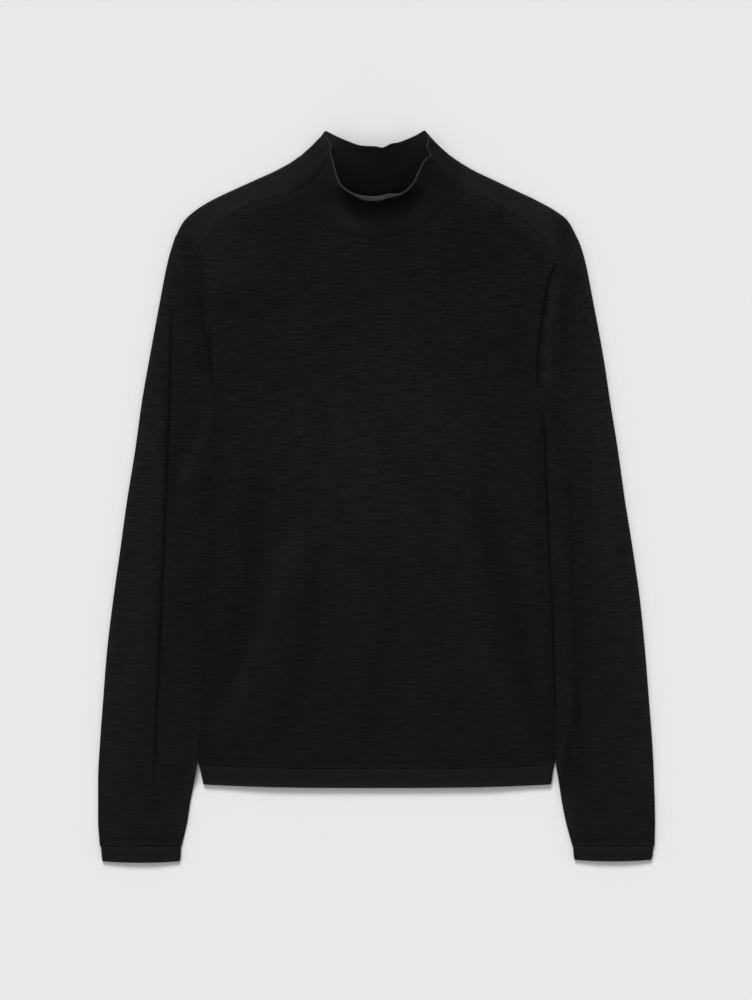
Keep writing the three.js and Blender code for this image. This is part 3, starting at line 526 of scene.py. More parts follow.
class ClothSurface:
    """The middle surface of one piece of cloth, made of grids that share their edges."""

    def __init__(self) -> None:
        self.points: list[Array] = []
        self.uvs: list[Array] = []
        self.quads: list[Array] = []
        self.count = 0

    def grid(self, points: Array, uv: Array, flip: bool = False) -> None:
        """Adds a grid of points; its outer face is on the left of a step along a row, then across.

        Args:
            points: rows of points, in millimetres.
            uv: their places on the cloth, in millimetres.
            flip: turns the outer face to the other side.
        """
        rows, columns = points.shape[:2]
        index = self.count + np.arange(rows * columns).reshape(rows, columns)
        quads = np.stack([index[:-1, :-1], index[:-1, 1:], index[1:, 1:], index[1:, :-1]], axis=-1)
        quads = quads.reshape(-1, 4)
        self.quads.append(quads[:, ::-1] if flip else quads)
        self.points.append(points.reshape(-1, 3))
        self.uvs.append(uv.reshape(-1, 2))
        self.count += rows * columns

    def thick_mesh(
        self, name: str, wall: float, round_edge: Callable[[Array], Array] | None, nap: Callable[[Array], Array] | None
    ) -> bpy.types.Mesh:
        """Makes a closed mesh: both faces of the cloth, and a strip along every free edge.

        Args:
            name: the mesh's name.
            wall: the cloth's thickness, in millimetres.
            round_edge: says which points of the free edges are rounded, from their places.
            nap: painted light and shade at points, around 1, which multiply the colour.

        Returns:
            The mesh, in metres in the frame's axes, with a UV map in metres.
        """
        raw, uv, quads = np.vstack(self.points), np.vstack(self.uvs), np.vstack(self.quads)
        _, first, merged = np.unique(np.round(raw * 500).astype(np.int64), axis=0, return_index=True, return_inverse=True)
        merged = merged.reshape(-1)
        points = raw[first]
        faces = merged[quads]
        normals = self._normals(points, faces)
        outer, inner = points + normals * wall / 2, points - normals * wall / 2
        count = len(points)

        polygons: list[list[int]] = []
        sources: list[int] = []
        edges: dict[tuple[int, int], tuple[int, int]] = {}
        for pairs in (list(zip(face, quad)) for face, quad in zip(faces.tolist(), quads.tolist())):
            kept = [pair for k, pair in enumerate(pairs) if pair[0] != pairs[k - 1][0]]
            if len({v for v, _ in kept}) < 3:
                continue
            polygons.append([v for v, _ in kept])
            sources.extend(r for _, r in kept)
            polygons.append([v + count for v, _ in reversed(kept)])
            sources.extend(r for _, r in reversed(kept))
            for (a, ra), (b, rb) in zip(kept, kept[1:] + kept[:1]):
                edges[a, b] = (ra, rb)
        free = {edge: raw_edge for edge, raw_edge in edges.items() if edge[::-1] not in edges}
        extra = self._edge_points(points, normals, free, wall, round_edge)
        extra_index = {v: 2 * count + k for k, v in enumerate(extra)}
        for (a, b), (ra, rb) in free.items():
            if a in extra_index and b in extra_index:
                polygons += [[b, a, extra_index[a], extra_index[b]], [extra_index[b], extra_index[a], a + count, b + count]]
                sources += [rb, ra, ra, rb, rb, ra, ra, rb]
            else:
                polygons.append([b, a, a + count, b + count])
                sources += [rb, ra, ra, rb]
        everything = np.vstack([outer, inner, *([np.array(list(extra.values()))] if extra else [])])
        placed = (everything - (*LAY_CENTRE, 0)) * MM
        mesh = bpy.data.meshes.new(name)
        mesh.from_pydata(placed.tolist(), [], polygons)
        layer = mesh.uv_layers.new(name="UVMap")
        layer.data.foreach_set("uv", (uv[np.array(sources)] * MM).astype(np.float32).ravel())
        # Painted light and shade of the piece at its points, around 1.
        tone = nap(everything) if nap else np.ones(len(everything))
        sides = [distance_to(everything[:, :2], np.array(NECK_SIDE) * (sign, 1))[0] for sign in (-1, 1)]
        slubs = (0.7 + 0.3 * smooth(everything[:, 1], 40, 380)) * (1 - 0.75 * np.exp(-((np.minimum(*sides) / 24) ** 2)))
        mesh.attributes.new("slubs", "FLOAT", "POINT").data.foreach_set("value", slubs.astype(np.float32))
        mesh.attributes.new("nap", "FLOAT", "POINT").data.foreach_set("value", tone.astype(np.float32))
        mesh.polygons.foreach_set("use_smooth", [True] * len(mesh.polygons))
        mesh.set_sharp_from_angle(angle=math.radians(50))
        mesh.validate()
        return mesh

    @staticmethod
    def _normals(points: Array, faces: Array) -> Array:
        a, b, c, d = (points[faces[:, k]] for k in range(4))
        facing = np.cross(c - a, d - b)
        total = np.zeros_like(points)
        for k in range(4):
            np.add.at(total, faces[:, k], facing)
        return total / np.maximum(np.linalg.norm(total, axis=1, keepdims=True), 1e-12)

    @staticmethod
    def _edge_points(
        points: Array,
        normals: Array,
        free: dict[tuple[int, int], tuple[int, int]],
        wall: float,
        round_edge: Callable[[Array], Array] | None,
    ) -> dict[int, Array]:
        if round_edge is None:
            return {}
        sums: dict[int, Array] = {}
        for a, b in free:
            along = points[b] - points[a]
            for v in (a, b):
                sums[v] = sums.get(v, 0) + np.cross(along, normals[v])
        chosen = [v for v in sums if round_edge(points[v])]
        return {v: points[v] + sums[v] / max(np.linalg.norm(sums[v]), 1e-9) * wall * 0.42 for v in chosen}


def srgb(code: str) -> tuple[float, float, float, float]:
    """Linear colour of an sRGB hex code."""
    channels = [int(code[k : k + 2], 16) / 255 for k in (1, 3, 5)]
    linear = [c / 12.92 if c <= 0.04045 else ((c + 0.055) / 1.055) ** 2.4 for c in channels]
    return (*linear, 1.0)


@dataclass(frozen=True)
class KnitFinish:
    """A knitted cloth's looks.

    Args:
        name: the material's name.
        slot: the record's material slot; not used.
        colour: sRGB code of the yarn in the light.
        streaks: contrast of the slubs along the courses.
        stitch: height of the stitches, in metres.
        sheen: amount of the fuzz that shows at the edges.
    """

    name: str
    slot: str
    colour: str
    streaks: float
    stitch: float
    sheen: float


# Slubbed fine-gauge jersey: uneven yarn leaves broken thick and thin lines along the courses,
# matt, with a little fuzz that lightens where the cloth turns away.
BODY_KNIT = KnitFinish("slub_jersey", "body_knit", "#121212", 0.55, 0.00016, 0.035)
# The bands are doubled and plain: smoother, a shade lighter, with finer and more even courses.
BAND_KNIT = KnitFinish("plain_band_knit", "band_knit", "#161616", 0.20, 0.00012, 0.035)
# The collar is plain too, but in the body's shade.
COLLAR_KNIT = KnitFinish("plain_collar_knit", "band_knit", "#121212", 0.15, 0.00012, 0.03)
# The linking stitches are of the body's yarn, pulled tight into the seams.
SEAM_YARN = KnitFinish("linking_yarn", "body_knit", "#0f0f0f", 0.05, 0.00005, 0.03)
# The bound lip is lighter than the body: a painted highlight where its edge catches the light.
LIP_YARN_PAINTED_HIGHLIGHT = KnitFinish("lip_yarn", "band_knit", "#262626", 0.05, 0.00008, 0.12)


class Nodes:
    """A small maker of shader nodes.

    Args:
        tree: the node tree.
    """

    def __init__(self, tree: bpy.types.NodeTree) -> None:
        self.tree = tree

    def add(self, kind: str, settings: dict | None = None, **inputs) -> bpy.types.Node:
        """Adds a node, sets its settings, and links or sets its inputs by name or number."""
        node = self.tree.nodes.new(kind)
        for key, value in (settings or {}).items():
            setattr(node, key, value)
        for key, value in inputs.items():
            socket = node.inputs[int(key[1:])] if key[0] == "n" and key[1:].isdigit() else node.inputs[key.replace("_", " ")]
            if isinstance(value, bpy.types.NodeSocket):
                self.tree.links.new(value, socket)
            else:
                socket.default_value = value
        return node

    def math(self, operation: str, a, b=0.0, c=0.0) -> bpy.types.NodeSocket:
        """The result of a math node."""
        return self.add("ShaderNodeMath", {"operation": operation}, n0=a, n1=b, n2=c).outputs[0]


def knit_material(finish: KnitFinish) -> bpy.types.Material:
    """Makes the material of a knit from its finish.

    Args:
        finish: the cloth's looks.

    Returns:
        The material; its pattern follows the UV map, which is in metres along the cloth.
    """
    material = bpy.data.materials.new(finish.name)
    material.use_nodes = True
    tree = material.node_tree
    tree.nodes.clear()
    n = Nodes(tree)
    uv = n.add("ShaderNodeUVMap", {"uv_map": "UVMap"}).outputs["UV"]
    split = n.add("ShaderNodeSeparateXYZ", n0=uv)
    wale, course = split.outputs["X"], split.outputs["Y"]

    def streak_noise(across_per_m: float, along_per_m: float, detail: float) -> bpy.types.NodeSocket:
        place = n.add(
            "ShaderNodeCombineXYZ",
            X=n.math("MULTIPLY", wale, across_per_m),
            Y=n.math("MULTIPLY", course, along_per_m),
        ).outputs[0]
        noise = n.add(
            "ShaderNodeTexNoise", {"noise_dimensions": "2D"}, Vector=place, Scale=1.0, Detail=detail, Roughness=0.6
        )
        return noise.outputs["Fac"]

    slub = streak_noise(42, 460, 2.0)
    thin = streak_noise(100, 1100, 1.0)
    cloud = streak_noise(14, 14, 2.0)
    lines = n.math("ADD", n.math("MULTIPLY", slub, 0.55), n.math("MULTIPLY", thin, 0.45))
    slubs = n.add("ShaderNodeAttribute", {"attribute_type": "GEOMETRY", "attribute_name": "slubs"}).outputs["Fac"]
    strength = n.math("MULTIPLY", slubs, 4.0 * finish.streaks)
    tone = n.math("MULTIPLY_ADD", n.math("SUBTRACT", lines, 0.5), strength, 1.0)
    patch = n.math("MULTIPLY_ADD", n.math("SUBTRACT", cloud, 0.5), 0.25, 1.0)
    # Painted light and shade, stored on each piece, multiply the yarn's colour.
    nap = n.add("ShaderNodeAttribute", {"attribute_type": "GEOMETRY", "attribute_name": "nap"}).outputs["Fac"]
    level = n.math("MULTIPLY", n.math("MULTIPLY", tone, patch), nap)
    base = srgb(finish.colour)
    shade = n.add("ShaderNodeVectorMath", {"operation": "SCALE"}, n0=base[:3], Scale=level)

    # Stitches: a row of loops every course, each loop a rounded V one wale wide.
    wale_wave = n.math("ABSOLUTE", n.math("SINE", n.math("MULTIPLY", wale, math.pi / 0.0015)))
    lean = n.math("MULTIPLY_ADD", wale_wave, 0.35, n.math("MULTIPLY", course, 1 / 0.0012))
    loop = n.math("ABSOLUTE", n.math("SINE", n.math("MULTIPLY", lean, math.pi)))
    stitch = n.math("ADD", n.math("MULTIPLY", loop, 0.6), n.math("MULTIPLY", wale_wave, 0.4))
    fine = n.add("ShaderNodeBump", Strength=0.6, Distance=finish.stitch, Height=stitch)
    height = n.math("ADD", n.math("MULTIPLY", lines, 1.0), n.math("MULTIPLY", cloud, 1.2))
    coarse = n.add("ShaderNodeBump", Strength=0.8, Distance=0.0009 * (0.3 + finish.streaks), Height=height)
    tree.links.new(fine.outputs[0], coarse.inputs["Normal"])
    shader = n.add(
        "ShaderNodeBsdfPrincipled",
        Base_Color=shade.outputs[0],
        Roughness=n.math("MULTIPLY_ADD", lines, -0.1, 0.95),
        Normal=coarse.outputs[0],
    )
    shader.inputs["Specular IOR Level"].default_value = 0.05
    shader.inputs["Sheen Weight"].default_value = finish.sheen
    shader.inputs["Sheen Roughness"].default_value = 0.45
    shader.inputs["Sheen Tint"].default_value = (0.9, 0.92, 1.0, 1.0)
    n.add("ShaderNodeOutputMaterial", Surface=shader.outputs[0])
    return material


@dataclass(frozen=True)
class Cut:
    """The flat cut of a piece of cloth, in metres and square metres."""

    width: float
    length: float
    area: float


class Wardrobe:
    """Makes objects of cloth, and hides the CAD parts that they stand for.

    Args:
        lay: how the sweater lies.
    """

    def __init__(self, lay: Lay) -> None:
        self.lay = lay
        self.materials = {f: knit_material(f) for f in (BODY_KNIT, BAND_KNIT, COLLAR_KNIT, SEAM_YARN, LIP_YARN_PAINTED_HIGHLIGHT)}

    def make(
        self,
        name: str,
        surface: ClothSurface,
        wall: float,
        finish: KnitFinish,
        round_edge: Callable[[Array], Array] | None = None,
        nap: Callable[[Array], Array] | None = None,
    ) -> bpy.types.Object:
        """Makes an object from a surface.

        Args:
            name: the object's name.
            surface: its middle surface.
            wall: its thickness in millimetres.
            finish: its looks.
            round_edge: which points of its free edges are rounded.
            nap: its painted light and shade at points.

        Returns:
            The object, riding on the part's one body.
        """
        mesh = surface.thick_mesh(name, wall, round_edge, nap)
        piece = bpy.data.objects.new(name, mesh)
        bpy.context.scene.collection.objects.link(piece)
        mesh.materials.append(self.materials[finish])
        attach(piece, "root")
        area = sum(face.area for face in mesh.polygons) / 2
        LOG.info("%s: %d vertices, %.4f m2 of cloth", name, len(mesh.vertices), area)
        return piece

    def declare(
        self, piece: bpy.types.Object, node: str, cut: Cut, rests_on: list[str], with_pieces: Sequence[bpy.types.Object] = ()
    ) -> None:
        """Hides the CAD node that a sheet stands for."""
        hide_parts(node)


@dataclass(frozen=True)
class PanelEdge:
    """One side of a body panel: the tips and insets of its folded part, then its armhole edge."""

    side: Side
    tips: Array
    insets: Array
    seam: Array


class BodyPanels:
    """The front and back of the body.

    Args:
        wardrobe: makes the objects.
    """

    front_cut = Cut(0.43, 0.63, 0.234)
    back_cut = Cut(0.43, 0.69, 0.256)

    def __init__(self, wardrobe: Wardrobe) -> None:
        self.wardrobe = wardrobe
        self.lay = wardrobe.lay
        self.sizes = wardrobe.lay.sizes

    def _edge(self, side: Side, low_steps: int, high_steps: int) -> PanelEdge:
        s = self.sizes
        seam_up = s.hem_seam_up + s.seam_gap / 2
        below = mix(s.hem_seam_up, s.underarm_up, graded(s.underarm_up - s.hem_seam_up, low_steps, True, False))
        joint = ARMHOLE_JOINT[side][1]
        above = mix(s.underarm_up, joint, graded(joint - s.underarm_up, high_steps, False, True))[1:]
        reach = s.underarm_reach * smooth(below, 350, 385)
        tips = np.stack([side.value * (BODY_SIDE(side.column, below) - s.wall / 2 + reach), below], axis=1)
        insets = tips - (side.value * s.body_roll, 0)
        for points in (tips, insets):
            fade = 1 - smooth(points[:, 1], seam_up, seam_up + 40)
            points[:, 1] += (seam_up - s.hem_seam_up + self.lay.hem_bow(points[:, 0])) * fade
        seam = np.stack([side.value * (ARMHOLE(side.column, above) - s.seam_gap / 2), above], axis=1)
        return PanelEdge(side, tips, insets, seam)

    def _blend(self, right: Array, left: Array, bottom: Array, top: Array) -> Array:
        u = ((top[:, 0] - top[0, 0]) / (top[-1, 0] - top[0, 0]))[None, :, None]
        v = ((right[:, 1] - right[0, 1]) / (right[-1, 1] - right[0, 1]))[:, None, None]
        sides = mix(right[:, None], left[:, None], u)
        ends = mix(bottom[None], top[None], v)
        corners = mix(mix(right[0], left[0], u), mix(right[-1], left[-1], u), v)
        return sides + ends - corners

    def _hem_line(self, right: Array, left: Array, top: Array) -> Array:
        u = (top[:, 0] - top[0, 0]) / (top[-1, 0] - top[0, 0])
        across = mix(right[0], left[0], u)
        up = self.sizes.hem_seam_up + self.sizes.seam_gap / 2 + self.lay.hem_bow(across)
        return np.stack([across, up], axis=1)

    def _side_roll(self, surface: ClothSurface, edge: PanelEdge, upper: bool) -> None:
        s = self.sizes
        angles = np.linspace(0, math.pi / 2, 7)
        inward = np.array([-edge.side.value, 0.0])
        top = self.lay.body_rise(edge.insets) if upper else np.full(len(edge.insets), s.floor_rise)
        full = self.lay.body_rise(edge.insets)
        middle, half = (s.floor_rise + full) / 2, (full - s.floor_rise) / 2
        sign = 1 if upper else -1
        columns = []
        for angle in angles[:-1]:
            plan = edge.tips + inward * s.body_roll * (1 - math.cos(angle))
            columns.append(raised(plan, middle + sign * (half * math.sin(angle) + 0.3 * math.cos(angle))))
        columns.append(raised(edge.insets, top))
        grid = np.stack(columns, axis=1)
        corner = raised(edge.seam[0], self.lay.body_rise(edge.seam[0]) if upper else s.floor_rise)
        if upper:
            corner[2] -= self.lay.dip(edge.seam[0])
        grid = np.concatenate([grid, np.broadcast_to(corner, (1, len(angles), 3))])
        uv = grid[..., :2].copy()
        uv[..., 0] += edge.side.value * s.body_roll * (math.pi / 2 - angles) * 0.6
        surface.grid(grid, uv, flip=(edge.side is Side.LEFT) == upper)

    def front(self) -> bpy.types.Object:
        """Makes the front panel."""
        s = self.sizes
        edges = {side: self._edge(side, 110, 48) for side in Side}
        shoulder = {}
        for side, edge in edges.items():
            length = np.linalg.norm(np.diff(self.lay.shoulder_seam(side), axis=0), axis=1).sum()
            line = self.lay.shoulder_seam(side, graded(length, 26, True, False, WRINKLE_STEPS))
            line -= np.array([side.value * 0.4, 0.9]) * s.seam_gap / 2
            line[0] = edge.seam[-1]
            shoulder[side] = line
        neck = spline(FRONT_NECK, np.linspace(0, 1, 66))[1:-1]
        top = np.vstack([shoulder[Side.RIGHT], neck, shoulder[Side.LEFT][::-1]])
        right, left = (np.vstack([edges[side].insets, edges[side].seam]) for side in Side)
        plan = self._blend(right, left, self._hem_line(right[0], left[0], top), top)
        surface = ClothSurface()
        surface.grid(raised(plan, self.lay.body_rise(plan) - self.lay.dip(plan)), plan)
        for edge in edges.values():
            self._side_roll(surface, edge, upper=True)
        return self.wardrobe.make("front_panel_knit", surface, s.wall, BODY_KNIT, nap=self._front_nap)

    def _front_nap(self, points: Array) -> Array:
        """Painted light and shade on the front: lighter in the middle and just below the shoulder seams, painted light
        and shade along its folds, painted shade at the left armhole seam, painted light beside the right sleeve, and
        painted shading at the hem.
        """
        plan = points[:, :2]
        tone = 1 + self.lay.folds(plan, BODY_FOLDS)[1]
        for across, up, reach_across, reach_up, change in FRONT_PAINTED_SHADING:
            away = ((points[:, 0] - across) / reach_across) ** 2 + ((points[:, 1] - up) / reach_up) ** 2
            tone += change * np.exp(-away)
        for side in Side:
            away = distance_to(plan, self.lay.shoulder_seam(side))[0]
            tone += 0.3 * np.exp(-((away / 9) ** 2))
        left = self.lay.armhole_seam(Side.LEFT)
        tone -= 0.75 * np.exp(-((distance_to(plan, left[6:58])[0] / 2.2) ** 2))
        beside = np.abs(points[:, 0] + SLEEVE_INNER("right", points[:, 1])) / 1.6
        tone += 0.9 * np.exp(-(beside**2)) * (1 - smooth(points[:, 1], 380, 420))
        above = points[:, 1] - self.lay.sizes.hem_seam_up - self.lay.hem_bow(points[:, 0])
        return tone + self.welt(above)

    @staticmethod
    def welt(above: Array) -> Array:
        """Painted shading of the last courses before a band: a fine painted dark line, painted light on the raised
        courses, then the seam's painted shade.
        """
        line, seam = np.exp(-(((above - 7) / 1.3) ** 2)), np.exp(-((above / 0.9) ** 2))
        return 0.12 * np.exp(-(((above - 3) / 1.6) ** 2)) - 0.2 * line - 0.3 * seam

    def _back_nap(self, points: Array) -> Array:
        """Painted light on the back where it turns over the shoulders and faces the light, a painted highlight at their
        silhouettes, and painted shade in a hollow by the armhole.
        """
        plan = points[:, :2]
        over = smooth(points[:, 2], 1.6, 3.0) * smooth(points[:, 1], 550, 580)
        fade = 1 - 0.6 * smooth(np.abs(points[:, 0]), 176, 204)
        edge = np.min([distance_to(plan, line)[0] for line in self.lay.shoulder_edges.values()], axis=0)
        hollow = np.exp(-(((points[:, 0] - 199.5) / 9) ** 2) - ((points[:, 1] - 596) / 14) ** 2)
        return 1 + over * (0.88 * fade + 0.5 * np.exp(-((edge / 3.5) ** 2)) - 0.45 * hollow)

    def shoulder_fold(self, side: Side, fractions: Array) -> tuple[Array, Array]:
        """Middle of the cloth at the silhouette of a shoulder, and the direction into the panel."""
        s = self.sizes
        face = self.lay.shoulder_edge(side, fractions) * (side.value, 1)
        tangent = np.gradient(face, axis=0)
        tangent /= np.linalg.norm(tangent, axis=1, keepdims=True)
        inward = np.stack([-tangent[:, 1], tangent[:, 0]], axis=1)
        slant = np.array(ARMHOLE_JOINT[side]) - ARMHOLE_TOP[side]
        inward[0] = slant / np.linalg.norm(slant)
        tip = face + inward * s.wall / 2
        tip[0] += np.array([inward[0, 1], -inward[0, 0]]) * 0.7
        sign = np.array([side.value, 1.0])
        return tip * sign, inward * sign

    def back(self) -> bpy.types.Object:
        """Makes the back panel with the strips that fold forward over the shoulders."""
        s = self.sizes
        edges = {side: self._edge(side, 50, 20) for side in Side}
        fractions = graded(140, 30, True, False)
        folds = {side: self.shoulder_fold(side, fractions) for side in Side}
        inset = {side: tip + inward * s.shoulder_roll for side, (tip, inward) in folds.items()}
        sides = []
        for side, edge in edges.items():
            joint, corner = edge.seam[-1], inset[side][0]
            link = [mix(joint, corner, t) for t in np.linspace(0, 1, 8)[1:]]
            sides.append(np.vstack([edge.insets, edge.seam, link]))
        right, left = sides
        neck_ends = [inset[Side.RIGHT][-1], *BACK_NECK, inset[Side.LEFT][-1]]
        neck = spline(neck_ends, np.linspace(0, 1, 50))[1:-1]
        top = np.vstack([inset[Side.RIGHT], neck, inset[Side.LEFT][::-1]])
        plan = self._blend(right, left, self._hem_line(right[0], left[0], top), top)
        surface = ClothSurface()
        surface.grid(raised(plan, s.floor_rise), plan, flip=True)
        for edge in edges.values():
            self._side_roll(surface, edge, upper=False)
        for side in Side:
            tip, inward = folds[side]
            seam = self.lay.shoulder_seam(side, fractions)
            seam += np.array([side.value * 0.4, 0.9]) * s.seam_gap / 2
            full = self.lay.body_rise(inset[side])
            rows = []
            for angle in np.linspace(-math.pi / 2, math.pi / 2, 13)[:-1]:
                plan = tip + inward * s.shoulder_roll * (1 - math.cos(angle))
                rows.append(raised(plan, (s.floor_rise + full) / 2 + (full - s.floor_rise) / 2 * math.sin(angle)))
            for t in graded(28, 12, False, True):
                plan = mix(inset[side], seam, t)
                rows.append(raised(plan, self.lay.body_rise(plan) - self.lay.dip(plan)))
            grid = np.stack(rows, axis=1)
            uv = grid[..., :2].copy()
            uv[..., 1] -= 2 * (inset[side][:, None, 1] - uv[..., 1])
            surface.grid(grid, uv, flip=side is Side.LEFT)
        return self.wardrobe.make("back_panel_knit", surface, s.wall, BODY_KNIT, nap=self._back_nap)


@dataclass(frozen=True)
class RingSteps:
    """How finely a flattened tube is divided round its section."""

    under: int
    roll: int = 6


class FlatTube:
    """A tube of cloth laid flat, built ring by ring.

    Args:
        roll: radius of its folded edges.
        steps: how finely it is divided.
    """

    def __init__(self, roll: float, steps: RingSteps) -> None:
        self.roll = roll
        self.steps = steps

    def ring(
        self,
        inner: Array,
        outer: Array,
        top: Callable[[Array], Array],
        under: Callable[[Array], Array],
        across: Array,
        open_end: bool = False,
    ) -> Array:
        """One ring: over the top from the inner end, round the outer fold, and back underneath.

        Args:
            inner: its inner end in plan.
            outer: its outer end in plan.
            top: height of the upper cloth at points.
            under: height of the lower cloth at points.
            across: the upper cloth's steps, as fractions of the way from the inner to the outer end.
            open_end: whether it stops at a seam instead of folding at its inner end.

        Returns:
            The ring's points.
        """
        away = (outer - inner) / np.linalg.norm(outer - inner)
        outer_flat = outer - away * self.roll
        inner_flat = inner if open_end else inner + away * self.roll
        angles = np.linspace(0, math.pi / 2, self.steps.roll + 1)[:-1]

        def folded(tip: Array, flat: Array, inward: Array, turns: Array) -> Array:
            low, high = under(flat), top(flat)
            plan = tip + np.outer(1 - np.cos(turns), inward) * self.roll
            return raised(plan, (low + high) / 2 + (high - low) / 2 * np.sin(turns))

        def layer(start: Array, end: Array, fractions: Array, rise: Callable[[Array], Array]) -> Array:
            plan = mix(start, end, fractions[:, None])
            return raised(plan, rise(plan))

        if open_end:
            first = np.repeat(raised(inner, top(inner))[None], len(angles), axis=0)
            last = np.repeat(raised(inner, under(inner))[None], len(angles), axis=0)
        else:
            first = folded(inner, inner_flat, away, angles)
            last = folded(inner, inner_flat, away, -angles[::-1])
        turns = np.concatenate([angles[::-1], -angles[1:]])
        return np.vstack([
            first,
            layer(inner_flat, outer_flat, across, top),
            folded(outer, outer_flat, -away, turns),
            layer(outer_flat, inner_flat, np.linspace(0, 1, self.steps.under), under),
            last,
        ])


def add_rings(surface: ClothSurface, rings: list[Array], lengths: Array, flip: bool) -> None:
    """Adds rings as one grid, with places on the cloth measured round the ring and along the tube."""
    grid = np.stack(rings)
    steps = np.linalg.norm(np.diff(grid, axis=1), axis=2)
    around = np.concatenate([np.zeros((len(grid), 1)), np.cumsum(steps, axis=1)], axis=1)
    around -= around[:, -1:] / 2
    uv = np.stack([around, np.broadcast_to(lengths[:, None], around.shape)], axis=-1)
    surface.grid(grid, uv, flip=flip)


class Sleeve:
    """A set-in sleeve that lies beside the body and partly on it.

    Args:
        wardrobe: makes the objects.
        side: the wearer's side.
    """

    cut = Cut(0.215, 0.665, 0.115)

    def __init__(self, wardrobe: Wardrobe, side: Side) -> None:
        self.wardrobe = wardrobe
        self.lay = wardrobe.lay
        self.side = side

    def build(self) -> bpy.types.Object:
        """Makes the sleeve."""
        s, side, lay = self.lay.sizes, self.side, self.lay
        joint, start = ARMHOLE_JOINT[side][1], ARMHOLE_TOP[side][1]
        above = mix(s.underarm_up, joint, graded(joint - s.underarm_up, 48, False, True))[::-1]
        below = mix(s.underarm_up, s.cuff_seam_up, graded(s.underarm_up - s.cuff_seam_up, 150, False, True))[1:]
        tube = FlatTube(s.sleeve_roll, RingSteps(30))
        rings = []
        ups = np.concatenate([above, below])
        for up in ups:
            open_end = up > s.underarm_up + 1e-6
            inner = ARMHOLE(side.column, up) + s.seam_gap / 2 if open_end else SLEEVE_INNER(side.column, up) + s.wall / 2
            outer_up = up + (start - joint) * (up - s.cuff_seam_up) / (joint - s.cuff_seam_up)
            outer = OUTLINE(side.column, outer_up) - s.wall / 2 + s.fuzz
            ring = tube.ring(
                np.array([side.value * inner, up]),
                np.array([side.value * outer, outer_up]),
                lambda p: lay.sleeve_top(p, side) - lay.dip(p),
                lay.sleeve_under,
                self._across(up, inner, outer),
                open_end,
            )
            rings.append(ring)
        surface = ClothSurface()
        add_rings(surface, rings, ups, flip=side is Side.LEFT)
        return self.wardrobe.make(f"sleeve_{side.column}_knit", surface, s.wall, BODY_KNIT, nap=self._nap)

    def _across(self, up: float, inner: float, outer: float) -> Array:
        """Steps across the upper cloth, finer at the armhole and at the crease."""
        line = np.abs(np.array(CREASES[self.side], float))
        line[:, 1] = np.array(CREASES[self.side])[:, 1]
        crease = np.interp(up, line[::-1, 1], line[::-1, 0])
        share = float(np.clip((crease - inner) / (outer - inner), 0.2, 0.75))
        width = outer - inner
        first = graded(share * width, 16, True, True, WRINKLE_STEPS) * share
        second = share + graded((1 - share) * width, 22, True, False, WRINKLE_STEPS) * (1 - share)
        return np.concatenate([first, second[1:]])

    def _nap(self, points: Array) -> Array:
        """Painted light and shade on the sleeve: lighter towards its outer edge, a painted highlight along that edge,
        painted light along its inner edge near the cuff, painted shade in its creases and at the left armhole seam, and
        a painted line beside the body.
        """
        side = self.side
        up, out = points[:, 1], np.abs(points[:, 0])
        inner, outer = SLEEVE_INNER(side.column, up), OUTLINE(side.column, up)
        outward = np.clip((out - inner) / (outer - inner), 0, 1)
        low = 1 - smooth(up, -20, 120)
        edge = (0.45 - 0.45 * low) * np.exp(-(((outer - out) / 7) ** 2))
        cuffward = 0.42 * low * np.exp(-(((out - inner) / 9) ** 2))
        offset, reach, change = PAINTED_LINE_BESIDE_BODY[side]
        beside = change * np.exp(-(((out - inner - offset) / reach) ** 2)) * (1 - smooth(up, 380, 430)) * (1 - low)
        light = self.lay.folds(points[:, :2], SLEEVE_FOLDS[side])[1]
        light += BodyPanels.welt(up - self.lay.sizes.cuff_seam_up)
        if side is Side.LEFT:
            seam = self.lay.armhole_seam(side)[6:58]
            light -= 0.75 * np.exp(-((distance_to(points[:, :2], seam)[0] / 1.7) ** 2))
        return np.maximum(0.97 + 0.2 * outward + edge + cuffward + beside + light, 0.2)


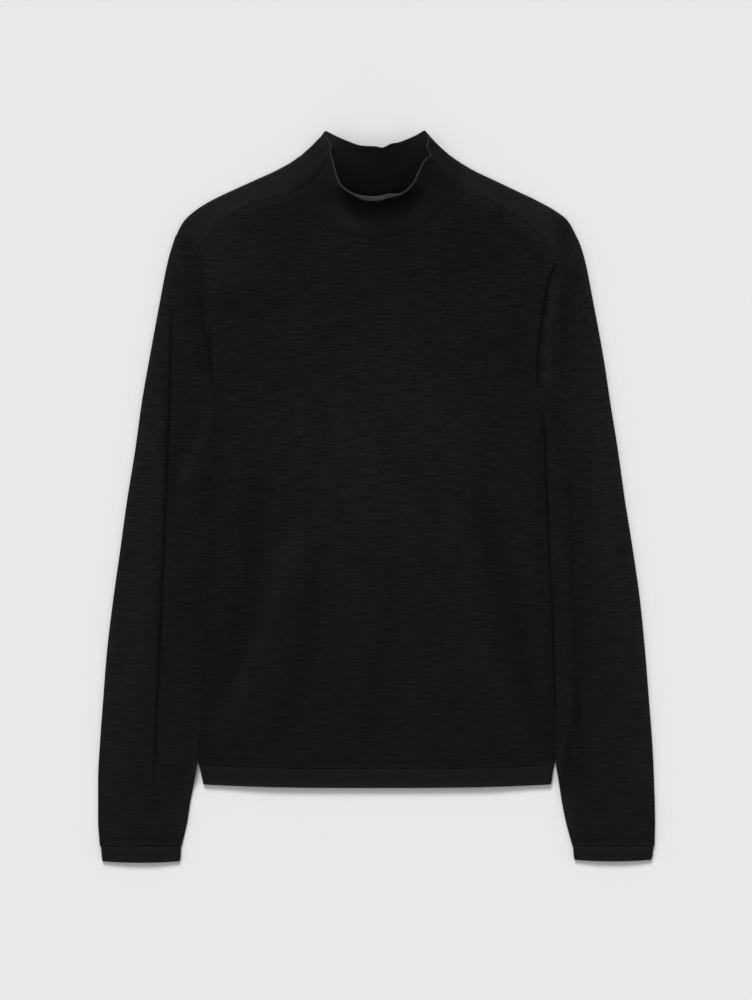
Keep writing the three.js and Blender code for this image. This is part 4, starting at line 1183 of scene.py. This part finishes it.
class Bands:
    """The plain bands at the hem and the cuffs, each a flattened tube of doubled knit.

    Args:
        wardrobe: makes the objects.
    """

    hem_cut = Cut(0.77, 0.0215, 0.0165)
    cuff_cut = Cut(0.178, 0.0175, 0.0031)

    def __init__(self, wardrobe: Wardrobe) -> None:
        self.wardrobe = wardrobe
        self.lay = wardrobe.lay
        self.sizes = wardrobe.lay.sizes

    def _belly(self, ups: Array, top: float, bottom: float) -> Array:
        """A band swells a little between its seam and its edge."""
        return 0.35 * np.sin(math.pi * np.clip((top - ups) / (top - bottom), 0, 1)) ** 0.7

    def hem(self) -> bpy.types.Object:
        """Makes the hem band."""
        s = self.sizes
        seam = s.hem_seam_up - s.seam_gap / 2
        ups = mix(seam, s.hem_end_up, graded(seam - s.hem_end_up, 10, True, True))
        tube = FlatTube(s.body_roll, RingSteps(60))
        rings = []
        for up, belly in zip(ups, self._belly(ups, seam, s.hem_end_up)):
            dip = 0.5 * math.exp(-((seam - up) / 1.4) ** 2)
            ring = tube.ring(
                np.array([-(BODY_SIDE("right", up) - s.band_wall / 2), up]),
                np.array([BODY_SIDE("left", up) - s.band_wall / 2, up]),
                lambda p: np.maximum(self.lay.body_rise(p), s.band_rise + 2 * s.body_roll) + belly - dip,
                lambda p: np.full(p.shape[:-1], s.band_rise),
                np.linspace(0, 1, 110),
            )
            ring[:, 1] += self.lay.hem_bow(ring[:, 0])
            rings.append(ring)
        surface = ClothSurface()
        add_rings(surface, rings, ups, flip=True)
        return self.wardrobe.make("hem_band_knit", surface, s.band_wall, BAND_KNIT, lambda p: p[1] < 8, self._hem_nap)

    @staticmethod
    def _hem_nap(points: Array) -> Array:
        """Painted shade at the band's seam and painted light towards its edge, where it turns down."""
        return 1 - 0.12 * np.exp(-(((points[:, 1] - 18) / 4.5) ** 2)) + 0.45 * (1 - smooth(points[:, 1], 1, 10))

    def cuff(self, side: Side) -> bpy.types.Object:
        """Makes the cuff of one sleeve."""
        s = self.sizes
        seam = s.cuff_seam_up - s.seam_gap
        ups = mix(seam, s.cuff_end_up, graded(seam - s.cuff_end_up, 8, True, True))
        tube = FlatTube(s.cuff_roll, RingSteps(24))
        inner_column, outer_column = f"{side.column}_inner", f"{side.column}_outer"
        rings = []
        for up, belly in zip(ups, self._belly(ups, seam, s.cuff_end_up)):
            inner, outer = CUFF(inner_column, up), CUFF(outer_column, up)
            dip = 0.5 * math.exp(-((seam - up) / 1.4) ** 2)

            def top(p: Array) -> Array:
                middle = 1 - np.abs((2 * np.abs(p[..., 0]) - inner - outer) / (outer - inner))
                rise = s.band_rise + 2 * s.cuff_roll + s.sleeve_loft * smooth(middle, 0, 0.8)
                return rise - s.sleeve_thinning + belly - dip

            ring = tube.ring(
                np.array([side.value * (inner + s.band_wall / 2), up]),
                np.array([side.value * (outer - s.band_wall / 2), up]),
                top,
                lambda p: np.full(p.shape[:-1], s.band_rise),
                np.linspace(0, 1, 44),
            )
            outward = (np.abs(ring[:, 0]) - inner) / (outer - inner)
            end = (seam - up) / (seam - s.cuff_end_up)
            ring[:, 1] += (CUFF_HITCH[side] + s.cuff_bow * (2 * outward - 1) ** 2) * end
            rings.append(ring)
        surface = ClothSurface()
        add_rings(surface, rings, ups, flip=side is Side.LEFT)
        edge = s.cuff_end_up + 3
        return self.wardrobe.make(
            f"cuff_{side.column}_knit", surface, s.band_wall, BAND_KNIT, lambda p: p[1] < edge, self._cuff_nap
        )

    def _cuff_nap(self, points: Array) -> Array:
        """Painted light on a cuff: a little lighter overall, and more towards its edge, where it turns down."""
        return 1.05 + 0.16 * np.exp(-(((points[:, 1] - self.sizes.cuff_end_up) / 4) ** 2))


class Collar:
    """The low standing collar, open at its mouth.

    Args:
        wardrobe: makes the objects.
    """

    cut = Cut(0.50, 0.06, 0.0211)
    columns = 300
    rows = 40

    def __init__(self, wardrobe: Wardrobe) -> None:
        self.wardrobe = wardrobe
        self.lay = wardrobe.lay

    def _rings(self) -> tuple[Array, Array, Array]:
        """The seam, the mouth and the turn of the lip, round the collar."""
        s = self.lay.sizes
        table = np.array(COLLAR, float)
        seam, layer, mouth, turn = table[:, :2], table[:, 2], table[:, 3:6], table[:, 6:]
        towards = mouth[:, :2] - seam
        seam = seam + towards / np.linalg.norm(towards, axis=1, keepdims=True) * s.neck_gap
        rise = mix(s.band_rise + 0.5, self.lay.body_rise(table[:, :2]), layer)
        stations = np.concatenate([raised(seam, rise), mouth, turn], axis=1)
        count = len(stations)
        at = np.arange(self.columns) * count / self.columns
        i = at.astype(int)
        t = (at - i)[:, None]
        a, b, c, d = (stations[(i + k) % count] for k in (-1, 0, 1, 2))
        tangent_b, tangent_c = self._tangents(a, b, c), self._tangents(b, c, d)
        h = (
            b * (1 + 2 * t) * (1 - t) ** 2
            + c * t * t * (3 - 2 * t)
            + tangent_b * t * (1 - t) ** 2
            - tangent_c * t * t * (1 - t)
        )
        return h[:, :3], h[:, 3:6], h[:, 6]

    @staticmethod
    def _tangents(a: Array, b: Array, c: Array) -> Array:
        """Tangents at b that don't overshoot where the spacing of the stations changes."""
        before, after = b - a, c - b
        size = lambda v: np.linalg.norm(v[:, :6], axis=1, keepdims=True)
        limit = 1.2 * np.minimum(size(before), size(after))
        tangent = (before + after) / 2
        return tangent * np.minimum(1, limit / np.maximum(size(tangent), 1e-9))

    def build(self) -> list[bpy.types.Object]:
        """Makes the collar and its bound lip."""
        s = self.lay.sizes
        seam, mouth, turn = self._rings()
        share = graded(50, 32, True, True)[:, None]
        wave = 0.35 * np.sin(np.arange(self.columns) / self.columns * 2 * math.pi * 13)
        points = mix(seam[None], mouth[None], share[..., None])
        sag = 4 * share * (1 - share) * smooth(np.abs(seam[:, 0]), COLLAR_SAG_FROM, COLLAR_SAG_TO)[None]
        points[..., 0] -= np.sign(seam[None, :, 0]) * COLLAR_SAG[0] * sag
        points[..., 1] -= COLLAR_SAG[1] * sag
        front = smooth(seam[:, 2], s.band_rise + 0.5, s.band_rise + 0.5 + s.collar_front_rise)[None]
        foot = s.collar_foot * front
        steepening = mix(s.collar_back_steepening, s.collar_front_steepening, front)
        climb = (np.maximum(0, share - foot) / (1 - foot)) ** steepening
        points[..., 2] = mix(seam[None, :, 2], mouth[None, :, 2], climb) + wave[None] * share**3
        below = 1 - smooth(seam[:, 1], 628, 642)
        points[..., 2] -= 0.5 * np.exp(-((share * 50 / 1.5) ** 2)) * (front * below)
        inside = smooth(share, 0.02, 0.2) * (1 - smooth(share, 0.85, 1.0))
        points[..., 2] += self.lay.folds(points[..., :2], COLLAR_FOLDS)[0] * inside * front
        rim = points[-1]
        self.front_rim = rim[(rim[:, 1] < 650) & (np.abs(rim[:, 0]) < 42), :2]
        closed = np.concatenate([points, points[:, :1]], axis=1)
        around = np.concatenate([[0], np.cumsum(np.linalg.norm(np.diff(closed[10], axis=0), axis=1))])
        uv = np.stack([np.broadcast_to(around, closed.shape[:2]), np.broadcast_to(share * 50, closed.shape[:2])], axis=-1)
        surface = ClothSurface()
        surface.grid(closed, uv)
        collar = self.wardrobe.make("collar_knit", surface, s.band_wall, COLLAR_KNIT, lambda p: p[2] > 7, self._nap)
        lip = self._lip(points[-1], seam, turn)
        self.wardrobe.declare(collar, "collar", self.cut, ["front_panel", "back_panel"], [lip])
        return [collar, lip]

    def _nap(self, points: Array) -> Array:
        """Painted light and shade on the collar: lighter at its sides, painted light and shade along its folds, and
        painted shade just below the front rim.
        """
        tone = 1 + self.lay.folds(points[:, :2], COLLAR_FOLDS)[1]
        for side, (light, reach) in COLLAR_PAINTED_LIGHT.items():
            line = np.array(COLLAR_EDGE, float) * (side.value, 1)
            tone += light * np.exp(-((distance_to(points[:, :2], line)[0] / reach) ** 2))
        away = distance_to(points[:, :2], self.front_rim)[0]
        shade = self._under_rim(away) * np.exp(-((points[:, 0] / 45) ** 4)) * (points[:, 1] < 650)
        return np.maximum(tone + shade, 0.1)

    @staticmethod
    def _under_rim(away: Array) -> Array:
        """Darkest just below the rim, in its shade, and lighter where the collar flattens out."""
        return -1.0 * np.exp(-((away / 8) ** 2)) + 0.85 * np.exp(-(((away - 24) / 9) ** 2))

    def _lip(self, rim: Array, seam: Array, turn: Array) -> bpy.types.Object:
        """The bound edge: a fine roll round the mouth, which turns in and shows wider at the front."""
        inward = rim[:, :2] - seam[:, :2]
        inward /= np.linalg.norm(inward, axis=1, keepdims=True)
        angles = np.linspace(0, 2 * math.pi, 13)
        width = 0.8 + turn / 2
        rows = []
        for angle in angles:
            plan = rim[:, :2] + inward * (turn / 2 * 0.9 + width * math.cos(angle) * 0.9)[:, None]
            rise = rim[:, 2] + 0.35 + 0.95 * math.sin(angle) - 0.25 * turn * (1 + math.cos(angle)) / 2
            rows.append(np.concatenate([plan, rise[:, None]], axis=1))
        grid = np.stack(rows)
        grid = np.concatenate([grid, grid[:, :1]], axis=1)
        length = np.concatenate([[0], np.cumsum(np.linalg.norm(np.diff(grid[0], axis=0), axis=1))])
        uv = np.stack([np.broadcast_to(length, grid.shape[:2]), np.broadcast_to(angles[:, None], grid.shape[:2])], axis=-1)
        mesh = self._plain_mesh(grid, uv)
        lip = bpy.data.objects.new("collar_lip", mesh)
        bpy.context.scene.collection.objects.link(lip)
        mesh.materials.append(self.wardrobe.materials[LIP_YARN_PAINTED_HIGHLIGHT])
        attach(lip, "root")
        return lip

    @staticmethod
    def _plain_mesh(grid: Array, uv: Array) -> bpy.types.Mesh:
        rows, columns = grid.shape[:2]
        around, along = rows - 1, columns - 1
        index = np.arange(around * along).reshape(around, along)
        below, beside = np.roll(index, -1, axis=0), np.roll(index, -1, axis=1)
        corner = np.roll(below, -1, axis=1)
        quads = np.stack([index, below, corner, beside], axis=-1).reshape(-1, 4)
        points = grid[:-1, :-1].reshape(-1, 3)
        mesh = bpy.data.meshes.new("collar_lip")
        mesh.from_pydata(((points - (*LAY_CENTRE, 0)) * MM).tolist(), [], quads.tolist())
        layer = mesh.uv_layers.new(name="UVMap")
        corners = [uv[:-1, :-1], uv[1:, :-1], uv[1:, 1:], uv[:-1, 1:]]
        layer.data.foreach_set("uv", (np.stack(corners, axis=2).reshape(-1, 2) * MM).astype(np.float32).ravel())
        # Painted highlight on the lip, strongest at the front.
        front = np.exp(-((points[:, 0] / 26) ** 2)) * (points[:, 1] < 650)
        mesh.attributes.new("nap", "FLOAT", "POINT").data.foreach_set("value", (1.15 + 0.6 * front).astype(np.float32))
        mesh.polygons.foreach_set("use_smooth", [True] * len(mesh.polygons))
        return mesh


@dataclass(frozen=True)
class Stitch:
    """Size of the linking stitches in metres, and their slant."""

    spacing: float = 0.0015
    length: float = 0.0019
    thickness: float = 0.0007
    slant: float = 0.35


class SeamStitching:
    """Rows of linking stitches along the seams, made by one node tree.

    Args:
        wardrobe: has the materials and the way the sweater lies.
        stitch: the stitches' sizes.
    """

    def __init__(self, wardrobe: Wardrobe, stitch: Stitch) -> None:
        self.wardrobe = wardrobe
        self.lay = wardrobe.lay
        self.stitch = stitch
        self.tree = self._tree()

    def build(self) -> None:
        """Makes a row of stitches along every seam that shows."""
        s = self.lay.sizes
        even = np.linspace(0, 1, 120)
        neck = spline(FRONT_NECK, even)
        self._row("stitches_neck_front", raised(neck, self._upper(neck)))
        back_neck = spline(BACK_NECK, even)
        self._row("stitches_neck_back", raised(back_neck, s.wall + 0.5))
        for side in Side:
            shoulder = self.lay.shoulder_seam(side, even)
            self._row(f"stitches_shoulder_{side.column}", raised(shoulder, self._upper(shoulder)))
            armhole = self.lay.armhole_seam(side)
            self._row(f"stitches_armhole_{side.column}", raised(armhole, self._upper(armhole)))
            across = np.linspace(CUFF(f"{side.column}_inner", -63.0) + 3, CUFF(f"{side.column}_outer", -63.0) - 3, 60)
            wrist = np.stack([side.value * across, np.full(60, s.cuff_seam_up - s.seam_gap / 2)], axis=1)
            self._row(f"stitches_cuff_{side.column}", raised(wrist, self.lay.sleeve_top(wrist, side) + 0.15))
        across = np.linspace(-186, 186, 160)
        hem = np.stack([across, s.hem_seam_up + self.lay.hem_bow(across)], axis=1)
        self._row("stitches_hem", raised(hem, self.lay.body_rise(hem) + 0.15))

    def _upper(self, plan: Array) -> Array:
        """Height of a stitch sunk into a seam of the upper layer."""
        return self.lay.body_rise(plan) + self.lay.sizes.wall / 2 - self.lay.dip(plan)

    def _row(self, name: str, line: Array) -> None:
        """Makes one row along a line of points in millimetres."""
        mesh = bpy.data.meshes.new(name)
        points = (line - (*LAY_CENTRE, 0)) * MM
        mesh.from_pydata(points.tolist(), [(k, k + 1) for k in range(len(points) - 1)], [])
        guide = bpy.data.objects.new(name + "_guide", mesh)
        bpy.context.scene.collection.objects.link(guide)
        modifier = guide.modifiers.new("stitches", "NODES")
        modifier.node_group = self.tree
        values = {
            "Spacing": self.stitch.spacing,
            "Length": self.stitch.length,
            "Thickness": self.stitch.thickness,
            "Slant": self.stitch.slant,
            "Seed": 3,
            "Yarn": self.wardrobe.materials[SEAM_YARN],
        }
        for item in self.tree.interface.items_tree:
            if item.in_out == "INPUT" and item.name in values:
                modifier[item.identifier] = values[item.name]
        graph = bpy.context.evaluated_depsgraph_get()
        made = bpy.data.meshes.new_from_object(guide.evaluated_get(graph))
        bpy.data.objects.remove(guide)
        row = bpy.data.objects.new(name, made)
        bpy.context.scene.collection.objects.link(row)
        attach(row, "root")
        LOG.info("%s: %d faces", name, len(made.polygons))

    def _tree(self) -> bpy.types.NodeTree:
        """Stitches along a line: slanted to and fro, each a little different."""
        tree = bpy.data.node_groups.new("linking_stitches", "GeometryNodeTree")
        sockets = (
            ("Geometry", "INPUT", "NodeSocketGeometry"),
            ("Spacing", "INPUT", "NodeSocketFloat"),
            ("Length", "INPUT", "NodeSocketFloat"),
            ("Thickness", "INPUT", "NodeSocketFloat"),
            ("Slant", "INPUT", "NodeSocketFloat"),
            ("Seed", "INPUT", "NodeSocketInt"),
            ("Yarn", "INPUT", "NodeSocketMaterial"),
            ("Geometry", "OUTPUT", "NodeSocketGeometry"),
        )
        for name, way, kind in sockets:
            tree.interface.new_socket(name=name, in_out=way, socket_type=kind)
        n = Nodes(tree)
        given = n.add("NodeGroupInput").outputs
        curve = n.add("GeometryNodeMeshToCurve", n0=given["Geometry"]).outputs[0]
        line = n.add("GeometryNodeResampleCurve", {"mode": "LENGTH"}, Curve=curve, Length=given["Spacing"]).outputs[0]
        bead = n.add("GeometryNodeMeshIcoSphere", Radius=1.0, Subdivisions=2).outputs["Mesh"]
        tangent = n.add("GeometryNodeInputTangent").outputs[0]
        index = n.add("GeometryNodeInputIndex").outputs[0]
        turn = n.math("MULTIPLY", n.math("MULTIPLY_ADD", n.math("MODULO", index, 2.0), 2.0, -1.0), given["Slant"])
        beside = n.add("ShaderNodeVectorMath", {"operation": "CROSS_PRODUCT"}, n0=tangent, n1=(0, 0, 1)).outputs[0]
        lean = n.add("ShaderNodeVectorMath", {"operation": "SCALE"}, n0=beside, Scale=turn).outputs[0]
        way = n.add("ShaderNodeVectorMath", {"operation": "ADD"}, n0=tangent, n1=lean).outputs[0]
        rotation = n.add("FunctionNodeAlignRotationToVector", {"axis": "X"}, Vector=way).outputs[0]
        vary = n.add("FunctionNodeRandomValue", {"data_type": "FLOAT"}, n2=0.85, n3=1.15, Seed=given["Seed"]).outputs[1]
        half_length = n.math("MULTIPLY", n.math("MULTIPLY", given["Length"], 0.5), vary)
        half_thick = n.math("MULTIPLY", given["Thickness"], 0.5)
        scale = n.add("ShaderNodeCombineXYZ", X=half_length, Y=half_thick, Z=half_thick).outputs[0]
        placed = n.add(
            "GeometryNodeInstanceOnPoints", Points=line, Instance=bead, Rotation=rotation, Scale=scale
        ).outputs[0]
        real = n.add("GeometryNodeRealizeInstances", Geometry=placed).outputs[0]
        smoothed = n.add("GeometryNodeSetShadeSmooth", Geometry=real).outputs[0]
        nap = n.add(
            "GeometryNodeStoreNamedAttribute",
            {"data_type": "FLOAT", "domain": "POINT"},
            Geometry=smoothed,
            Name="nap",
            Value=1.0,
        ).outputs[0]
        dyed = n.add("GeometryNodeSetMaterial", Geometry=nap, Material=given["Yarn"]).outputs[0]
        n.add("NodeGroupOutput", n0=dyed)
        return tree


class Studio:
    """The pale floor, the soft light and the camera straight above."""

    floor_colour = "#e6e6e6"
    pixels = (752, 1000)
    mm_per_pixel = 1.08
    centre_px = (376.5, 497.0)
    distance = 8.0
    # name, turn from the photo's top towards its left, elevation, light on the floor, angular size
    lamps = (("key", 12.0, 36.0, 1.65, 24.0), ("left", 90.0, 26.0, 0.30, 40.0), ("right", -90.0, 26.0, 0.20, 40.0))
    world_light = 1.08

    def build(self) -> None:
        """Makes all of it."""
        self._floor()
        self._lights()
        self._camera()

    def _floor(self) -> None:
        mesh = bpy.data.meshes.new("floor")
        half = 4.0
        mesh.from_pydata([(-half, -half, 0), (half, -half, 0), (half, half, 0), (-half, half, 0)], [], [(0, 1, 2, 3)])
        floor = bpy.data.objects.new("floor", mesh)
        bpy.context.scene.collection.objects.link(floor)
        material = bpy.data.materials.new("pale_floor")
        material.use_nodes = True
        shader = material.node_tree.nodes["Principled BSDF"]
        shader.inputs["Base Color"].default_value = srgb(self.floor_colour)
        shader.inputs["Roughness"].default_value = 0.9
        shader.inputs["Specular IOR Level"].default_value = 0.1
        mesh.materials.append(material)

    def _lights(self) -> None:
        for name, turn, elevation, light, size in self.lamps:
            lamp = bpy.data.objects.new(name, bpy.data.lights.new(name, "SUN"))
            lamp.data.energy = light / math.sin(math.radians(elevation))
            lamp.data.angle = math.radians(size)
            lamp.rotation_euler = (math.radians(elevation - 90), 0, math.radians(turn))
            bpy.context.scene.collection.objects.link(lamp)
        world = bpy.data.worlds.new("studio")
        world.use_nodes = True
        world.node_tree.nodes["Background"].inputs["Color"].default_value = (1, 1, 1, 1)
        world.node_tree.nodes["Background"].inputs["Strength"].default_value = self.world_light / math.pi
        bpy.context.scene.world = world

    def _camera(self) -> None:
        scene = bpy.context.scene
        camera = bpy.data.objects.new("camera", bpy.data.cameras.new("camera"))
        scene.collection.objects.link(camera)
        across = (self.pixels[0] / 2 - self.centre_px[0]) * self.mm_per_pixel * MM
        up = -(self.pixels[1] / 2 - self.centre_px[1]) * self.mm_per_pixel * MM
        camera.location = (across, up, self.distance)
        height = self.pixels[1] * self.mm_per_pixel * MM
        camera.data.sensor_fit = "AUTO"
        camera.data.sensor_width = 36
        camera.data.lens = 36 * self.distance / height
        scene.camera = camera
        scene.view_settings.view_transform = "Standard"
        scene.view_settings.look = "None"


def main() -> None:
    """Builds the studio and each piece in order."""
    logging.basicConfig(level=logging.INFO, format="%(name)s: %(message)s")
    Studio().build()
    lay = Lay(SIZES)
    wardrobe = Wardrobe(lay)
    panels = BodyPanels(wardrobe)
    front, back = panels.front(), panels.back()
    wardrobe.declare(back, "back_panel", panels.back_cut, ["floor"])
    wardrobe.declare(front, "front_panel", panels.front_cut, ["back_panel"])
    for side in Side:
        sleeve = Sleeve(wardrobe, side)
        piece = sleeve.build()
        wardrobe.declare(piece, f"sleeve_{side.column}", sleeve.cut, ["floor", "front_panel"])
    bands = Bands(wardrobe)
    wardrobe.declare(bands.hem(), "hem_band", bands.hem_cut, ["floor"])
    for side in Side:
        wardrobe.declare(bands.cuff(side), f"cuff_{side.column}", bands.cuff_cut, ["floor"])
    Collar(wardrobe).build()
    SeamStitching(wardrobe, Stitch()).build()


if __name__ == "__main__":
    main()
